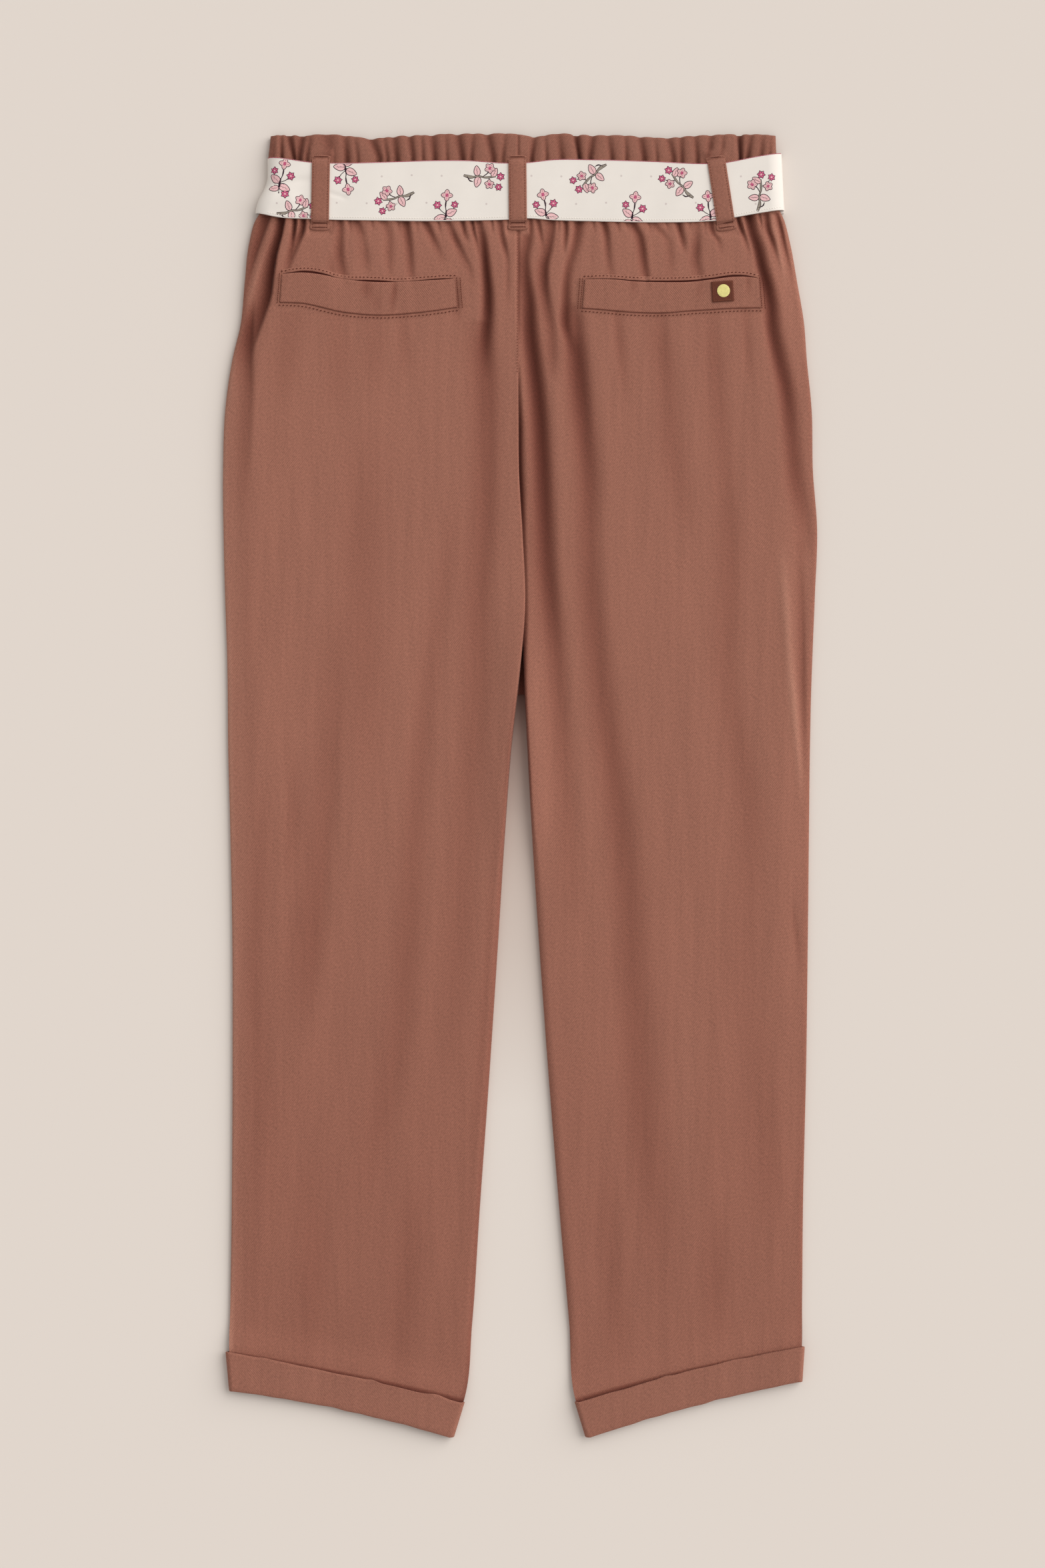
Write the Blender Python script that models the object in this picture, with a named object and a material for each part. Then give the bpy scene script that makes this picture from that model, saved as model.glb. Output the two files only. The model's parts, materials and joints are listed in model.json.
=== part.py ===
"""Paperbag waist trousers for a child of about eight, laid flat on a surface with the back up.

The cloth lies in layers. The front panels are flat on the surface and the back panels lie on them, with
their long edges rolled down to the side seams and inseams. Above the belt the waistband opens into a frill,
below it the cloth is gathered, and each leg ends in a turned-up cuff. Tables and sizes are in millimetres.
A place on the garment is x, from its middle line, and drop, down from the top of the frill; z is the
height over the surface. The function at() turns the three into metres.
"""

import math
from collections import namedtuple

import bmesh
import bpy
from mathutils import Vector

# Driving dimensions, in millimetres.
LENGTH = 759.7  # top of the frill to the lowest corner of the cuffs
CLOTH = 1.3  # wall of the twill panels
TRIM = 1.0  # wall of the belt and the welts
LOOP_CLOTH = 1.0  # wall of the loops and the tab
CUFF_CLOTH = 1.2
SEAM_GAP = 0.3
EDGE_ROLL = 7.0  # how far in from a side edge the back comes up to its full height
WAISTBAND_HIGH = 7.5  # top of the flattened waistband's back
UNDER_BELT = TRIM + SEAM_GAP  # the front lies this high where the belt passes under it
UNDER_CUFF = CUFF_CLOTH + SEAM_GAP
LAYER = CLOTH + SEAM_GAP
CROTCH_DROP = 327.0
LOOP_WIDTH = 10.4
LOOP_ABOVE_BELT = 4.2
LOOP_BELOW_BELT = 5.0
FRONT_LOOP_X = 78.0
FRONT_LOOP_LIFT = LOOP_CLOTH + SEAM_GAP
WELT_DEPTH = 17.3
CUFF_OVERHANG = 2.4  # the cuff stands out past the leg inside it by this much
TAB_SIZE = (12.6, 11.4)
TAB_CENTRE = (117.8, 92.6)
TAB_TILT = math.radians(-4.0)

LEFT, RIGHT = -1, 1
SIDE_NAMES = {LEFT: "left", RIGHT: "right"}

# Sections of a leg, from the top of the panel to the hem. x is counted outwards from the middle line.
Section = namedtuple("Section", "outer_x outer_drop inner_x inner_drop")
LEG_SECTIONS = {
    LEFT: [
        Section(145.6, 39, 1.2, 42),
        Section(154.4, 51, 1.2, 53),
        Section(157.6, 63, 1.2, 65),
        Section(160.6, 87, 1.2, 89),
        Section(163.2, 111, 1.2, 113),
        Section(167.2, 131, 1.2, 133),
        Section(171.9, 161, 0.8, 163),
        Section(172.9, 196, -0.3, 198),
        Section(172.7, 234, -2.0, 235),
        Section(171.9, 273, -3.3, 273),
        Section(170.8, 306, -0.6, 308),
        Section(170.4, 326, 1.6, 328),
        Section(169.9, 352, 4.2, 354),
        Section(169.0, 401, 8.2, 404),
        Section(168.0, 467, 12.8, 471),
        Section(167.6, 544, 18.0, 550),
        Section(168.0, 622, 23.8, 631),
        Section(168.8, 681, 28.4, 694),
        Section(169.2, 711, 34.7, 739),
        Section(167.3, 733, 40.9, 759.2),
    ],
    RIGHT: [
        Section(148.0, 39, -0.9, 42),
        Section(154.0, 51, -0.9, 53),
        Section(157.0, 63, -0.9, 65),
        Section(161.2, 87, -0.9, 89),
        Section(165.2, 111, -0.9, 113),
        Section(166.9, 131, -0.9, 133),
        Section(170.2, 161, -2.4, 163),
        Section(171.2, 196, -2.2, 198),
        Section(172.9, 234, -0.5, 235),
        Section(171.8, 269, 0.8, 271),
        Section(169.8, 306, 2.0, 308),
        Section(169.3, 326, 2.7, 328),
        Section(168.8, 352, 4.2, 354),
        Section(168.1, 401, 7.3, 404),
        Section(167.2, 467, 11.6, 471),
        Section(166.3, 544, 16.8, 550),
        Section(164.4, 622, 23.2, 631),
        Section(163.6, 681, 28.7, 694),
        Section(163.0, 708, 34.3, 739),
        Section(161.9, 728, 40.3, 759.0),
    ],
}
HEM_BOW = {LEFT: 1.3, RIGHT: 2.2}  # the hem's middle lies this much higher than a straight line
LAST = 19.0  # the hem's place in the tables of sections
CUFF_TOP = 18.0  # the cuff's upper edge
PANEL_END = 18.9  # the panels stop inside the fold of the cuff
STACK_FROM, STACK_TO = 17.45, 17.93  # where the leg rises onto the cuff's under layer

# Height of the back's cloth over the surface, down the garment.
Height = namedtuple("Height", "drop high")
BACK_HEIGHTS = [
    Height(39, 7.5),
    Height(60, 6.9),
    Height(95, 6.5),
    Height(330, 6.2),
    Height(560, 5.8),
    Height(761, 5.4),
]

# Troughs between the folds of the back. Each runs from its top to its end, bowed sideways in the middle.
Fold = namedtuple("Fold", "x_top drop_top x_end drop_end bow half_width depth")
BACK_FOLDS = {
    LEFT: [
        Fold(-143.6, 46, -163.5, 112, 0.0, 3.6, 1.9),
        Fold(-138.0, 46, -160.0, 166, -1.5, 4.6, 3.0),
        Fold(-129.6, 46, -134.5, 82, 0.0, 2.8, 1.9),
        Fold(-122.8, 46, -132.0, 90, 0.0, 3.0, 2.1),
        Fold(-103.5, 46, -100.0, 92, 0.0, 3.2, 1.7),
        Fold(-88.5, 46, -81.0, 80, 0.0, 3.2, 1.6),
        Fold(-76.0, 46, -74.0, 72, 0.0, 3.0, 1.3),
        Fold(-64.0, 46, -62.0, 82, 0.0, 3.0, 1.7),
        Fold(-52.5, 46, -44.0, 84, 0.0, 3.0, 2.1),
        Fold(-41.0, 46, -34.5, 80, 0.0, 2.8, 1.7),
        Fold(-31.5, 46, -26.5, 74, 0.0, 2.8, 1.5),
        Fold(-24.5, 46, -19.0, 170, 3.6, 3.8, 3.0),
        Fold(-8.5, 46, -4.5, 84, 0.0, 2.8, 1.8),
        Fold(-18.0, 120, -20.0, 330, 2.0, 9.0, 1.2),
        Fold(-132.0, 330, -116.0, 560, 0.0, 12.0, 0.9),
        Fold(-64.0, 330, -70.0, 620, 0.0, 13.0, 1.0),
    ],
    RIGHT: [
        Fold(7.0, 46, 22.0, 290, -2.5, 4.6, 3.0),
        Fold(16.5, 46, 17.0, 96, 0.0, 3.0, 1.6),
        Fold(30.0, 46, 44.0, 215, -6.0, 3.8, 2.7),
        Fold(41.0, 46, 40.0, 74, 0.0, 2.6, 1.2),
        Fold(48.5, 46, 52.5, 80, 0.0, 3.0, 1.5),
        Fold(65.5, 46, 78.0, 92, 0.0, 3.0, 2.0),
        Fold(91.0, 46, 107.0, 84, 0.0, 3.2, 2.2),
        Fold(79.5, 46, 84.0, 70, 0.0, 2.8, 1.3),
        Fold(125.5, 46, 134.5, 72, 0.0, 2.6, 1.6),
        Fold(131.5, 46, 166.5, 212, -4.5, 4.4, 3.0),
        Fold(142.0, 46, 150.0, 76, 0.0, 2.6, 1.6),
        Fold(149.5, 46, 157.5, 86, 0.0, 2.4, 1.1),
        Fold(42.0, 160, 88.0, 680, 0.0, 11.0, 1.3),
        Fold(131.0, 380, 136.0, 600, 0.0, 12.0, 0.8),
    ],
}

# Troughs between the waves of the frill, from its free edge to the stitching of the channel.
Wave = namedtuple("Wave", "x_top x_low half_width depth")
FRILL_WAVES = [
    Wave(-142.5, -141.0, 2.2, 1.4),
    Wave(-135.0, -132.7, 3.0, 2.6),
    Wave(-125.5, -128.4, 3.2, 2.2),
    Wave(-112.0, -112.5, 3.0, 0.9),
    Wave(-101.4, -100.5, 3.2, 1.9),
    Wave(-87.0, -82.3, 3.6, 2.3),
    Wave(-73.7, -72.0, 3.2, 2.1),
    Wave(-64.0, -62.9, 3.0, 2.0),
    Wave(-51.6, -50.4, 3.2, 2.1),
    Wave(-38.4, -35.0, 3.4, 2.2),
    Wave(-27.0, -28.0, 2.8, 1.3),
    Wave(-17.8, -16.5, 3.2, 1.7),
    Wave(10.5, 9.3, 3.2, 2.0),
    Wave(22.0, 23.3, 3.4, 1.6),
    Wave(31.0, 33.0, 3.0, 2.7),
    Wave(43.3, 41.4, 3.0, 2.1),
    Wave(51.0, 52.7, 3.0, 1.6),
    Wave(69.6, 71.4, 3.6, 2.1),
    Wave(84.0, 86.0, 3.2, 1.4),
    Wave(98.8, 100.0, 3.2, 1.7),
    Wave(110.0, 109.0, 3.0, 1.7),
    Wave(127.0, 127.4, 3.0, 2.7),
    Wave(137.4, 139.0, 3.0, 1.6),
]
# The frill's free edge, which dips between its waves.
EdgePoint = namedtuple("EdgePoint", "x drop")
FRILL_EDGE = [
    EdgePoint(-146, 2.6),
    EdgePoint(-136, 0.6),
    EdgePoint(-126, 1.3),
    EdgePoint(-112, 0.2),
    EdgePoint(-100, 1.8),
    EdgePoint(-90, 3.4),
    EdgePoint(-70, 1.6),
    EdgePoint(-56, 1.2),
    EdgePoint(-44, 0.4),
    EdgePoint(-25, 0.0),
    EdgePoint(-5, 0.5),
    EdgePoint(9, 2.5),
    EdgePoint(23, 0.2),
    EdgePoint(44, 1.4),
    EdgePoint(66, 1.7),
    EdgePoint(82, 3.2),
    EdgePoint(100, 2.0),
    EdgePoint(120, 1.2),
    EdgePoint(140, 1.0),
    EdgePoint(150, 2.0),
]
FRILL_DEPTH = 14.5  # free edge to the stitching of the channel
FRILL_DROOP = 1.3  # the free edge lies this much lower than the channel
# Half width of the waistband at its free edge, at its channel and at the panels.
WAIST_EDGE = {LEFT: (145.8, 144.4, 146.0), RIGHT: (149.0, 149.2, 147.4)}
CENTRE_SEAM = {LEFT: -1.2, RIGHT: -0.9}  # x of the waistband's two halves at the centre back seam

# The belt's upper and lower edges on the back.
BeltSection = namedtuple("BeltSection", "x upper lower")
BELT_SECTIONS = [
    BeltSection(-154.0, 14.0, 47.0),
    BeltSection(-141.6, 15.4, 49.4),
    BeltSection(-121.0, 18.6, 50.6),
    BeltSection(-110.6, 18.8, 51.0),
    BeltSection(-82.6, 18.4, 51.5),
    BeltSection(-51.2, 17.3, 51.8),
    BeltSection(-30.7, 17.3, 51.6),
    BeltSection(-7.8, 18.8, 51.0),
    BeltSection(3.9, 18.7, 50.3),
    BeltSection(18.0, 16.8, 51.2),
    BeltSection(45.4, 16.9, 52.0),
    BeltSection(79.5, 17.8, 52.6),
    BeltSection(107.9, 19.2, 52.0),
    BeltSection(116.0, 19.0, 51.4),
    BeltSection(124.9, 17.6, 49.7),
    BeltSection(136.6, 15.1, 47.6),
    BeltSection(154.0, 12.2, 45.2),
]
BELT_LEFT_FLARE = 6.6  # the belt's upper left corner lies this far in from its lower one
BELT_RIGHT_FLARE = 1.6
BELT_LOW_END = UNDER_BELT  # the back of the belt comes down to its front at the sides
BELT_ROLL = 8.5  # how far in from its ends the back of the belt comes up to its full height
BELT_HIGH = WAISTBAND_HIGH + SEAM_GAP + TRIM
FRONT_BELT = (17.5, 51.0)  # upper and lower edge of the belt under the front

# Loops of the back: x at the upper and at the lower end.
Loop = namedtuple("Loop", "name x_upper x_lower")
BACK_LOOPS = [
    Loop("belt_loop_back_left", -115.7, -116.4),
    Loop("belt_loop_back_centre", -1.6, -1.2),
    Loop("belt_loop_back_right", 113.8, 120.0),
]

# Upper edge of each pocket welt, from the side to the centre.
WeltPoint = namedtuple("WeltPoint", "x drop")
WELT_EDGES = {
    LEFT: [
        WeltPoint(-138.6, 83.4),
        WeltPoint(-126.0, 83.0),
        WeltPoint(-106.0, 86.2),
        WeltPoint(-80.0, 88.2),
        WeltPoint(-58.0, 87.4),
        WeltPoint(-37.4, 86.2),
    ],
    RIGHT: [
        WeltPoint(140.4, 84.9),
        WeltPoint(124.0, 86.4),
        WeltPoint(104.0, 88.1),
        WeltPoint(82.0, 88.6),
        WeltPoint(58.0, 87.6),
        WeltPoint(37.0, 86.2),
    ],
}

# Mesh rows: where each lies in the table of sections, and how many columns it has.
Row = namedtuple("Row", "place columns")
FINE, MIDDLE, COARSE = 44, 22, 11

TWILL = ("terracotta_twill", (0.31, 0.13, 0.09), 0.8, 0.0)
COTTON = ("cream_cotton", (0.76, 0.68, 0.61), 0.85, 0.0)
TAB_CLOTH = ("brown_tape", (0.16, 0.06, 0.04), 0.8, 0.0)


def at(x, drop, z):
    """A place on the garment in metres. The origin is under the middle of the garment's box."""
    return Vector((x, LENGTH / 2 - drop, z)) * 0.001


def ease(start, end, value):
    """0 before start, 1 after end, smooth in between."""
    t = min(1.0, max(0.0, (value - start) / (end - start)))
    return t * t * (3 - 2 * t)


def mix(a, b, t):
    return a + (b - a) * t


def plateau(distance, flat, fade):
    """1 within flat of the middle, 0 from fade on."""
    return 1 - ease(flat, fade, abs(distance))


def through(values, t):
    """A smooth curve through values at t = 0, 1, 2 and so on."""
    k = min(int(t), len(values) - 2)
    f = t - k
    before, here, after, beyond = (values[min(max(k + n, 0), len(values) - 1)] for n in (-1, 0, 1, 2))
    pull = (after - before) / 2 * f * (1 - f) ** 2 - (beyond - here) / 2 * f * f * (1 - f)
    return here + (after - here) * ease(0, 1, f) + pull


def along(table, value, column):
    """The column of a table of rows ordered by their first field, read at value."""
    keys = [row[0] for row in table]
    rising = keys[-1] > keys[0]
    k = 0
    while k < len(keys) - 2 and (value > keys[k + 1]) == rising:
        k += 1
    t = min(1.0, max(0.0, (value - keys[k]) / (keys[k + 1] - keys[k])))
    return through([row[column] for row in table], k + t)


def pulled_to_ends(u, pull):
    """u, with the steps made closer at both ends."""
    return u - pull * math.sin(2 * math.pi * u) / (2 * math.pi)


def roll(distance, width):
    """The rise of a rounded edge: 0 at the edge, 1 from width inwards."""
    t = min(1.0, max(0.0, distance / width))
    return math.sqrt(1 - (1 - t) ** 2)


def leg_place(side, place, u):
    """x and drop on a leg, with u from 0 at the outer edge to 1 at the inner edge."""
    sections = LEG_SECTIONS[side]
    outer_x, outer_drop, inner_x, inner_drop = (
        through([section[column] for section in sections], place) for column in range(4)
    )
    bow = HEM_BOW[side] * ease(15, CUFF_TOP, place) * 4 * u * (1 - u)
    return side * mix(outer_x, inner_x, u), mix(outer_drop, inner_drop, u) - bow


def leg_width(side, place):
    sections = LEG_SECTIONS[side]
    return through([s.outer_x for s in sections], place) - through([s.inner_x for s in sections], place)


def front_belt_edge(x, share):
    """The drop of the belt's edges under the front, which rise to the sides."""
    return mix(*FRONT_BELT, share) - ease(110, 150, abs(x)) * mix(3.2, 4.6, share)


def front_lift(x, drop):
    """How high the front lies over the belt and the loops under it."""
    upper, lower = front_belt_edge(x, 0), front_belt_edge(x, 1)
    over_belt = UNDER_BELT * ease(upper - 5.5, upper - 2, drop) * (1 - ease(lower + 2.5, lower + 10, drop))
    loop_reach = ease(5, 9, drop) * (1 - ease(lower + 7, lower + 15, drop))
    over_loop = FRONT_LOOP_LIFT * plateau(abs(x) - FRONT_LOOP_X, 13, 24) * loop_reach
    return over_belt + over_loop


def trough_depth(folds, x, drop):
    depth = 0.0
    for fold in folds:
        t = (drop - fold.drop_top) / (fold.drop_end - fold.drop_top)
        if not 0 <= t <= 1:
            continue
        centre = mix(fold.x_top, fold.x_end, t) + fold.bow * 4 * t * (1 - t)
        starts = ease(0, 8, drop - fold.drop_top)
        ends = 1 - ease(0.35, 1, t)
        depth += fold.depth * starts * ends * math.exp(-(((x - centre) / fold.half_width) ** 2))
    return depth


def back_loop_x(loop, drop):
    return mix(loop.x_upper, loop.x_lower, (drop - 15) / 40)


def held_flat_by_loops(x, drop):
    """1 where a loop's stitched end holds the cloth flat."""
    near_ends = 1 - ease(58, 66, drop)
    return near_ends * max(plateau(x - back_loop_x(loop, drop), 7.0, 12.0) for loop in BACK_LOOPS)


def back_high(side, place, u):
    """Height of the back panel's upper face."""
    x, drop = leg_place(side, place, u)
    stacked = ease(STACK_FROM, STACK_TO, place)
    lowest = mix(front_lift(x, drop) + 0.15, UNDER_CUFF, stacked) + LAYER + CLOTH
    flat = mix(along(BACK_HEIGHTS, drop, 1), lowest, stacked)
    width = leg_width(side, place)
    parted = ease(CROTCH_DROP - 35, CROTCH_DROP + 8, drop)
    rise = roll(width * u, EDGE_ROLL) * mix(1.0, roll(width * (1 - u), EDGE_ROLL), parted)
    high = mix(lowest, flat, rise)
    troughs = trough_depth(BACK_FOLDS[side], x, drop) * (1 - held_flat_by_loops(x, drop)) * (1 - stacked)
    troughs *= ease(0, 12, width * u)
    tucked = tuck_under_seam(x, drop) if side == RIGHT else 0.0
    return max(lowest, high - troughs - tucked)


def tuck_under_seam(x, drop):
    """The right half dips at the centre back seam, where the left half's fold lies over it."""
    amount = 2.7 * ease(95, 131, drop)
    return amount * math.exp(-((max(0.0, x - 1.0) / 4.5) ** 2))


def skin(bm, lines):
    """Faces between the lines of points. A line may have half as many columns as the one before."""
    for upper, lower in zip(lines, lines[1:]):
        halved = len(upper) > len(lower)
        for k in range(len(lower) - 1):
            if halved:
                a, middle, b = upper[2 * k : 2 * k + 3]
                bm.faces.new((a, middle, lower[k]))
                bm.faces.new((middle, lower[k + 1], lower[k]))
                bm.faces.new((middle, b, lower[k + 1]))
            else:
                bm.faces.new((upper[k], upper[k + 1], lower[k + 1], lower[k]))


def sheet(name, rows, surface, finish):
    """A wall of cloth as one closed solid. surface(place, u) gives x, drop, lower z and upper z.

    The upper face is lofted through the rows, then extruded, and each new point drops to its lower z.
    """
    bm = bmesh.new()
    underside = bm.verts.layers.float.new("underside")
    lines = []
    for row in rows:
        line = []
        for k in range(row.columns + 1):
            x, drop, low, high = surface(row.place, k / row.columns)
            point = bm.verts.new(at(x, drop, high))
            point[underside] = at(x, drop, low).z
            line.append(point)
        lines.append(line)
    skin(bm, lines)
    extruded = bmesh.ops.extrude_face_region(bm, geom=bm.faces[:], use_keep_orig=True)
    for piece in extruded["geom"]:
        if isinstance(piece, bmesh.types.BMVert):
            piece.co.z = piece[underside]
    bmesh.ops.recalc_face_normals(bm, faces=bm.faces)
    mesh = bpy.data.meshes.new(name)
    bm.to_mesh(mesh)
    bm.free()
    return place_object(name, mesh, finish)


def place_object(name, mesh, finish):
    mesh.materials.append(material(*finish))
    mesh.shade_smooth()
    mesh.set_sharp_from_angle(angle=math.radians(50))
    thing = bpy.data.objects.new(name, mesh)
    TROUSERS.objects.link(thing)
    return thing


def material(name, colour, roughness, metallic):
    found = bpy.data.materials.get(name)
    if found:
        return found
    made = bpy.data.materials.new(name)
    made.use_nodes = True
    shader = made.node_tree.nodes["Principled BSDF"]
    shader.inputs["Base Color"].default_value = (*colour, 1.0)
    shader.inputs["Roughness"].default_value = roughness
    shader.inputs["Metallic"].default_value = metallic
    return made


def back_panel(side):
    gathers = [Row(place / 2, FINE) for place in range(0, 7)]
    seat = [Row(place, MIDDLE) for place in (3.6, 4.3, 5, 5.7, 6.4, 7.2, 8, 9, 10, 10.6, 11.2)]
    leg = [Row(place, COARSE) for place in (12, 13, 14, 15, 16, 17, 17.45, 17.93, PANEL_END)]

    def surface(place, u):
        u = pulled_to_ends(u, 0.45)
        x, drop = leg_place(side, place, u)
        high = back_high(side, place, u)
        return x, drop, high - CLOTH, high

    return sheet(f"back_panel_{SIDE_NAMES[side]}", gathers + seat + leg, surface, TWILL)


def front_panel(side):
    waist = [Row(place, MIDDLE) for place in (0, 0.6, 1.0, 1.7)]
    body = [Row(place, COARSE) for place in (2.4, 4, 6, 8, 10, 11, 11.5)]
    leg = [Row(place, COARSE) for place in (12, 13, 14, 15, 16, 17, 17.45, 17.93, PANEL_END)]

    def surface(place, u):
        x, drop = leg_place(side, place, u)
        seam_x = SEAM_GAP / 2
        outer_x, _ = leg_place(side, place, 0)
        inner_x, _ = leg_place(side, place, 1)
        parted = ease(CROTCH_DROP + 1, CROTCH_DROP + 26, drop)
        inner = side * mix(seam_x, max(seam_x, side * inner_x), parted)
        x = mix(outer_x, inner, u)
        low = mix(front_lift(x, drop), UNDER_CUFF, ease(STACK_FROM, STACK_TO, place))
        return x, drop, low, low + CLOTH

    return sheet(f"front_panel_{SIDE_NAMES[side]}", waist + body + leg, surface, TWILL)


def waist_lower_edge(side, u):
    """The waistband's lower edge, just above the panel's upper one."""
    outer, inner = LEG_SECTIONS[side][0].outer_drop, LEG_SECTIONS[side][0].inner_drop
    return mix(outer, inner, u) - SEAM_GAP


def frill_depth(x, share):
    """Depth of the frill's troughs, with share from 0 at the free edge to 1 at the channel."""
    depth = 0.0
    for wave in FRILL_WAVES:
        centre = mix(wave.x_top, wave.x_low, share)
        depth += wave.depth * math.exp(-(((x - centre) / wave.half_width) ** 2))
    return depth


def back_waistband(side):
    rows = [Row(share, 56) for share in (0, 0.35, 0.7, 1.0)] + [Row(share, 28) for share in (1.3, 2.0)]

    def surface(share, u):
        u = pulled_to_ends(u, 0.3)
        outer = side * through(WAIST_EDGE[side], share)
        x = mix(outer, CENTRE_SEAM[side], u)
        top = along(FRILL_EDGE, x, 1)
        frill = mix(top, FRILL_DEPTH, min(share, 1.0))
        drop = mix(frill, waist_lower_edge(side, u), max(0.0, share - 1.0))
        lowest = front_waist_low(x, drop) + LAYER + CLOTH
        free = 1 - min(share, 1.0)
        high = WAISTBAND_HIGH - FRILL_DROOP * free * free
        high = mix(lowest, high, roll(abs(x - outer), EDGE_ROLL))
        channel = max(0.0, share - 1.0)
        troughs = frill_depth(x, min(share, 1.0)) * (1 - ease(0.0, 0.3, channel))
        troughs *= 1 - held_flat_by_loops(x, drop) * ease(0.5, 0.85, share)
        troughs *= mix(1.0, 0.8, free) * ease(0, 7, abs(x - outer))
        high = max(lowest, high - troughs)
        return x, drop, high - CLOTH, high

    return sheet(f"waistband_back_{SIDE_NAMES[side]}", rows, surface, TWILL)


def front_waist_low(x, drop):
    """Lower face of the waistband's front: it ripples on the surface in the frill."""
    ripple = 0.45 * (1 + math.sin(x / 5.2)) * (1 - ease(4, FRILL_DEPTH - 3, drop))
    return max(front_lift(x, drop), ripple * (1 - ease(128, 140, abs(x))))


def front_waistband():
    rows = [Row(share, 60) for share in (0, 0.5, 1.0)] + [Row(share, 30) for share in (1.1, 2.0)]

    def surface(share, u):
        x = mix(-through(WAIST_EDGE[LEFT], share), through(WAIST_EDGE[RIGHT], share), u)
        side = LEFT if x < 0 else RIGHT
        half = through(WAIST_EDGE[side], share)
        frill = mix(along(FRILL_EDGE, x, 1) + 0.6, FRILL_DEPTH, min(share, 1.0))
        drop = mix(frill, waist_lower_edge(side, 1 - abs(x) / half), max(0.0, share - 1.0))
        low = front_waist_low(x, drop)
        return x, drop, low, low + CLOTH

    return sheet("waistband_front", rows, surface, TWILL)


def back_belt_x(u, share):
    """x on the back of the belt, whose ends slant, with share from 0 at its upper edge to 1 at its lower."""
    left, right = BELT_SECTIONS[0].x, BELT_SECTIONS[-1].x
    return mix(left + BELT_LEFT_FLARE * (1 - share), right - BELT_RIGHT_FLARE * (1 - share), u)


def belt_back():
    rows = [Row(share, 56) for share in (0, 0.5, 1.0)]

    def surface(share, u):
        u = pulled_to_ends(u, 0.6)
        x = back_belt_x(u, share)
        drop = mix(along(BELT_SECTIONS, x, 1), along(BELT_SECTIONS, x, 2), share)
        end = min(x - back_belt_x(0, share), back_belt_x(1, share) - x)
        high = mix(BELT_LOW_END + TRIM, BELT_HIGH, roll(end, BELT_ROLL))
        return x, drop, high - TRIM, high

    return sheet("belt_back", rows, surface, COTTON)


def belt_front():
    rows = [Row(share, 60) for share in (0, 1)]

    def surface(share, u):
        x = back_belt_x(u, share)
        low = FRONT_LOOP_LIFT * plateau(abs(x) - FRONT_LOOP_X, 10.5, 16)
        return x, front_belt_edge(x, share), low, low + TRIM

    return sheet("belt_front", rows, surface, COTTON)


def back_loop(loop):
    """A loop over the belt, whose ends come down to the waistband above it and the panel below it."""
    belt_upper = along(BELT_SECTIONS, loop.x_upper, 1)
    belt_lower = along(BELT_SECTIONS, loop.x_lower, 2)
    resting = WAISTBAND_HIGH + SEAM_GAP + LOOP_CLOTH
    raised = BELT_HIGH + SEAM_GAP + LOOP_CLOTH
    profile = [
        (belt_upper - LOOP_ABOVE_BELT, resting),
        (belt_upper - 2.6, resting),
        (belt_upper - 1.3, raised),
        (belt_upper + 10, raised),
        (belt_lower - 10, raised),
        (belt_lower + 0.7, raised),
        (belt_lower + 2.4, resting - 0.3),
        (belt_lower + LOOP_BELOW_BELT, resting - 0.4),
    ]
    rows = [Row(k, 4) for k in range(len(profile))]

    def surface(k, u):
        drop, high = profile[k]
        x = back_loop_x(loop, drop) + LOOP_WIDTH * (u - 0.5)
        slope = (loop.x_lower - loop.x_upper) / 40
        return x, drop - slope * LOOP_WIDTH * (u - 0.5), high - LOOP_CLOTH, high

    return sheet(loop.name, rows, surface, TWILL)


def front_loop(side):
    upper, lower = FRONT_BELT
    rows = [Row(k, 3) for k in (0, 0.5, 1)]

    def surface(share, u):
        x = side * FRONT_LOOP_X + LOOP_WIDTH * (u - 0.5)
        return x, mix(upper - LOOP_ABOVE_BELT, lower + LOOP_BELOW_BELT, share), 0.0, LOOP_CLOTH

    return sheet(f"belt_loop_front_{SIDE_NAMES[side]}", rows, surface, TWILL)


def panel_high_at(side, x, drop):
    """Height of the back panel's upper face over a place, found from its section and width share."""
    low_place, high_place = 0.0, 8.0
    for _ in range(30):
        place = (low_place + high_place) / 2
        outer_x, outer_drop, inner_x, inner_drop = (
            through([section[column] for section in LEG_SECTIONS[side]], place) for column in range(4)
        )
        u = (side * x - outer_x) / (inner_x - outer_x)
        if mix(outer_drop, inner_drop, u) < drop:
            low_place = place
        else:
            high_place = place
    return back_high(side, place, u)


def clear_of_panel(side, x, drop):
    """The highest the panel comes within reach of a place, plus the gap."""
    reach = 2.5
    spots = [(dx, dy) for dx in (-reach, 0, reach) for dy in (-reach, 0, reach)]
    return max(panel_high_at(side, x + dx, drop + dy) for dx, dy in spots) + SEAM_GAP


def welt_place(side, share, u):
    """x and drop on a welt, with share from 0 at the pocket's mouth to 1 at the lower seam."""
    edge = WELT_EDGES[side]
    x = mix(edge[0].x, edge[-1].x, u)
    flare = side * 1.4 * share * (1 - 2 * u)
    return x + flare, along(edge, x, 1) + WELT_DEPTH * share


def welt(side):
    rows = [Row(share, 24) for share in (0, 0.5, 1.0)]

    def surface(share, u):
        x, drop = welt_place(side, share, u)
        low = clear_of_panel(side, x, drop)
        return x, drop, low, low + TRIM

    return sheet(f"pocket_welt_{SIDE_NAMES[side]}", rows, surface, TWILL)


def tab_place(across, down):
    """x and drop on the tab, which is sewn on a little askew."""
    c, s = math.cos(TAB_TILT), math.sin(TAB_TILT)
    return TAB_CENTRE[0] + across * c - down * s, TAB_CENTRE[1] + across * s + down * c


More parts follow.
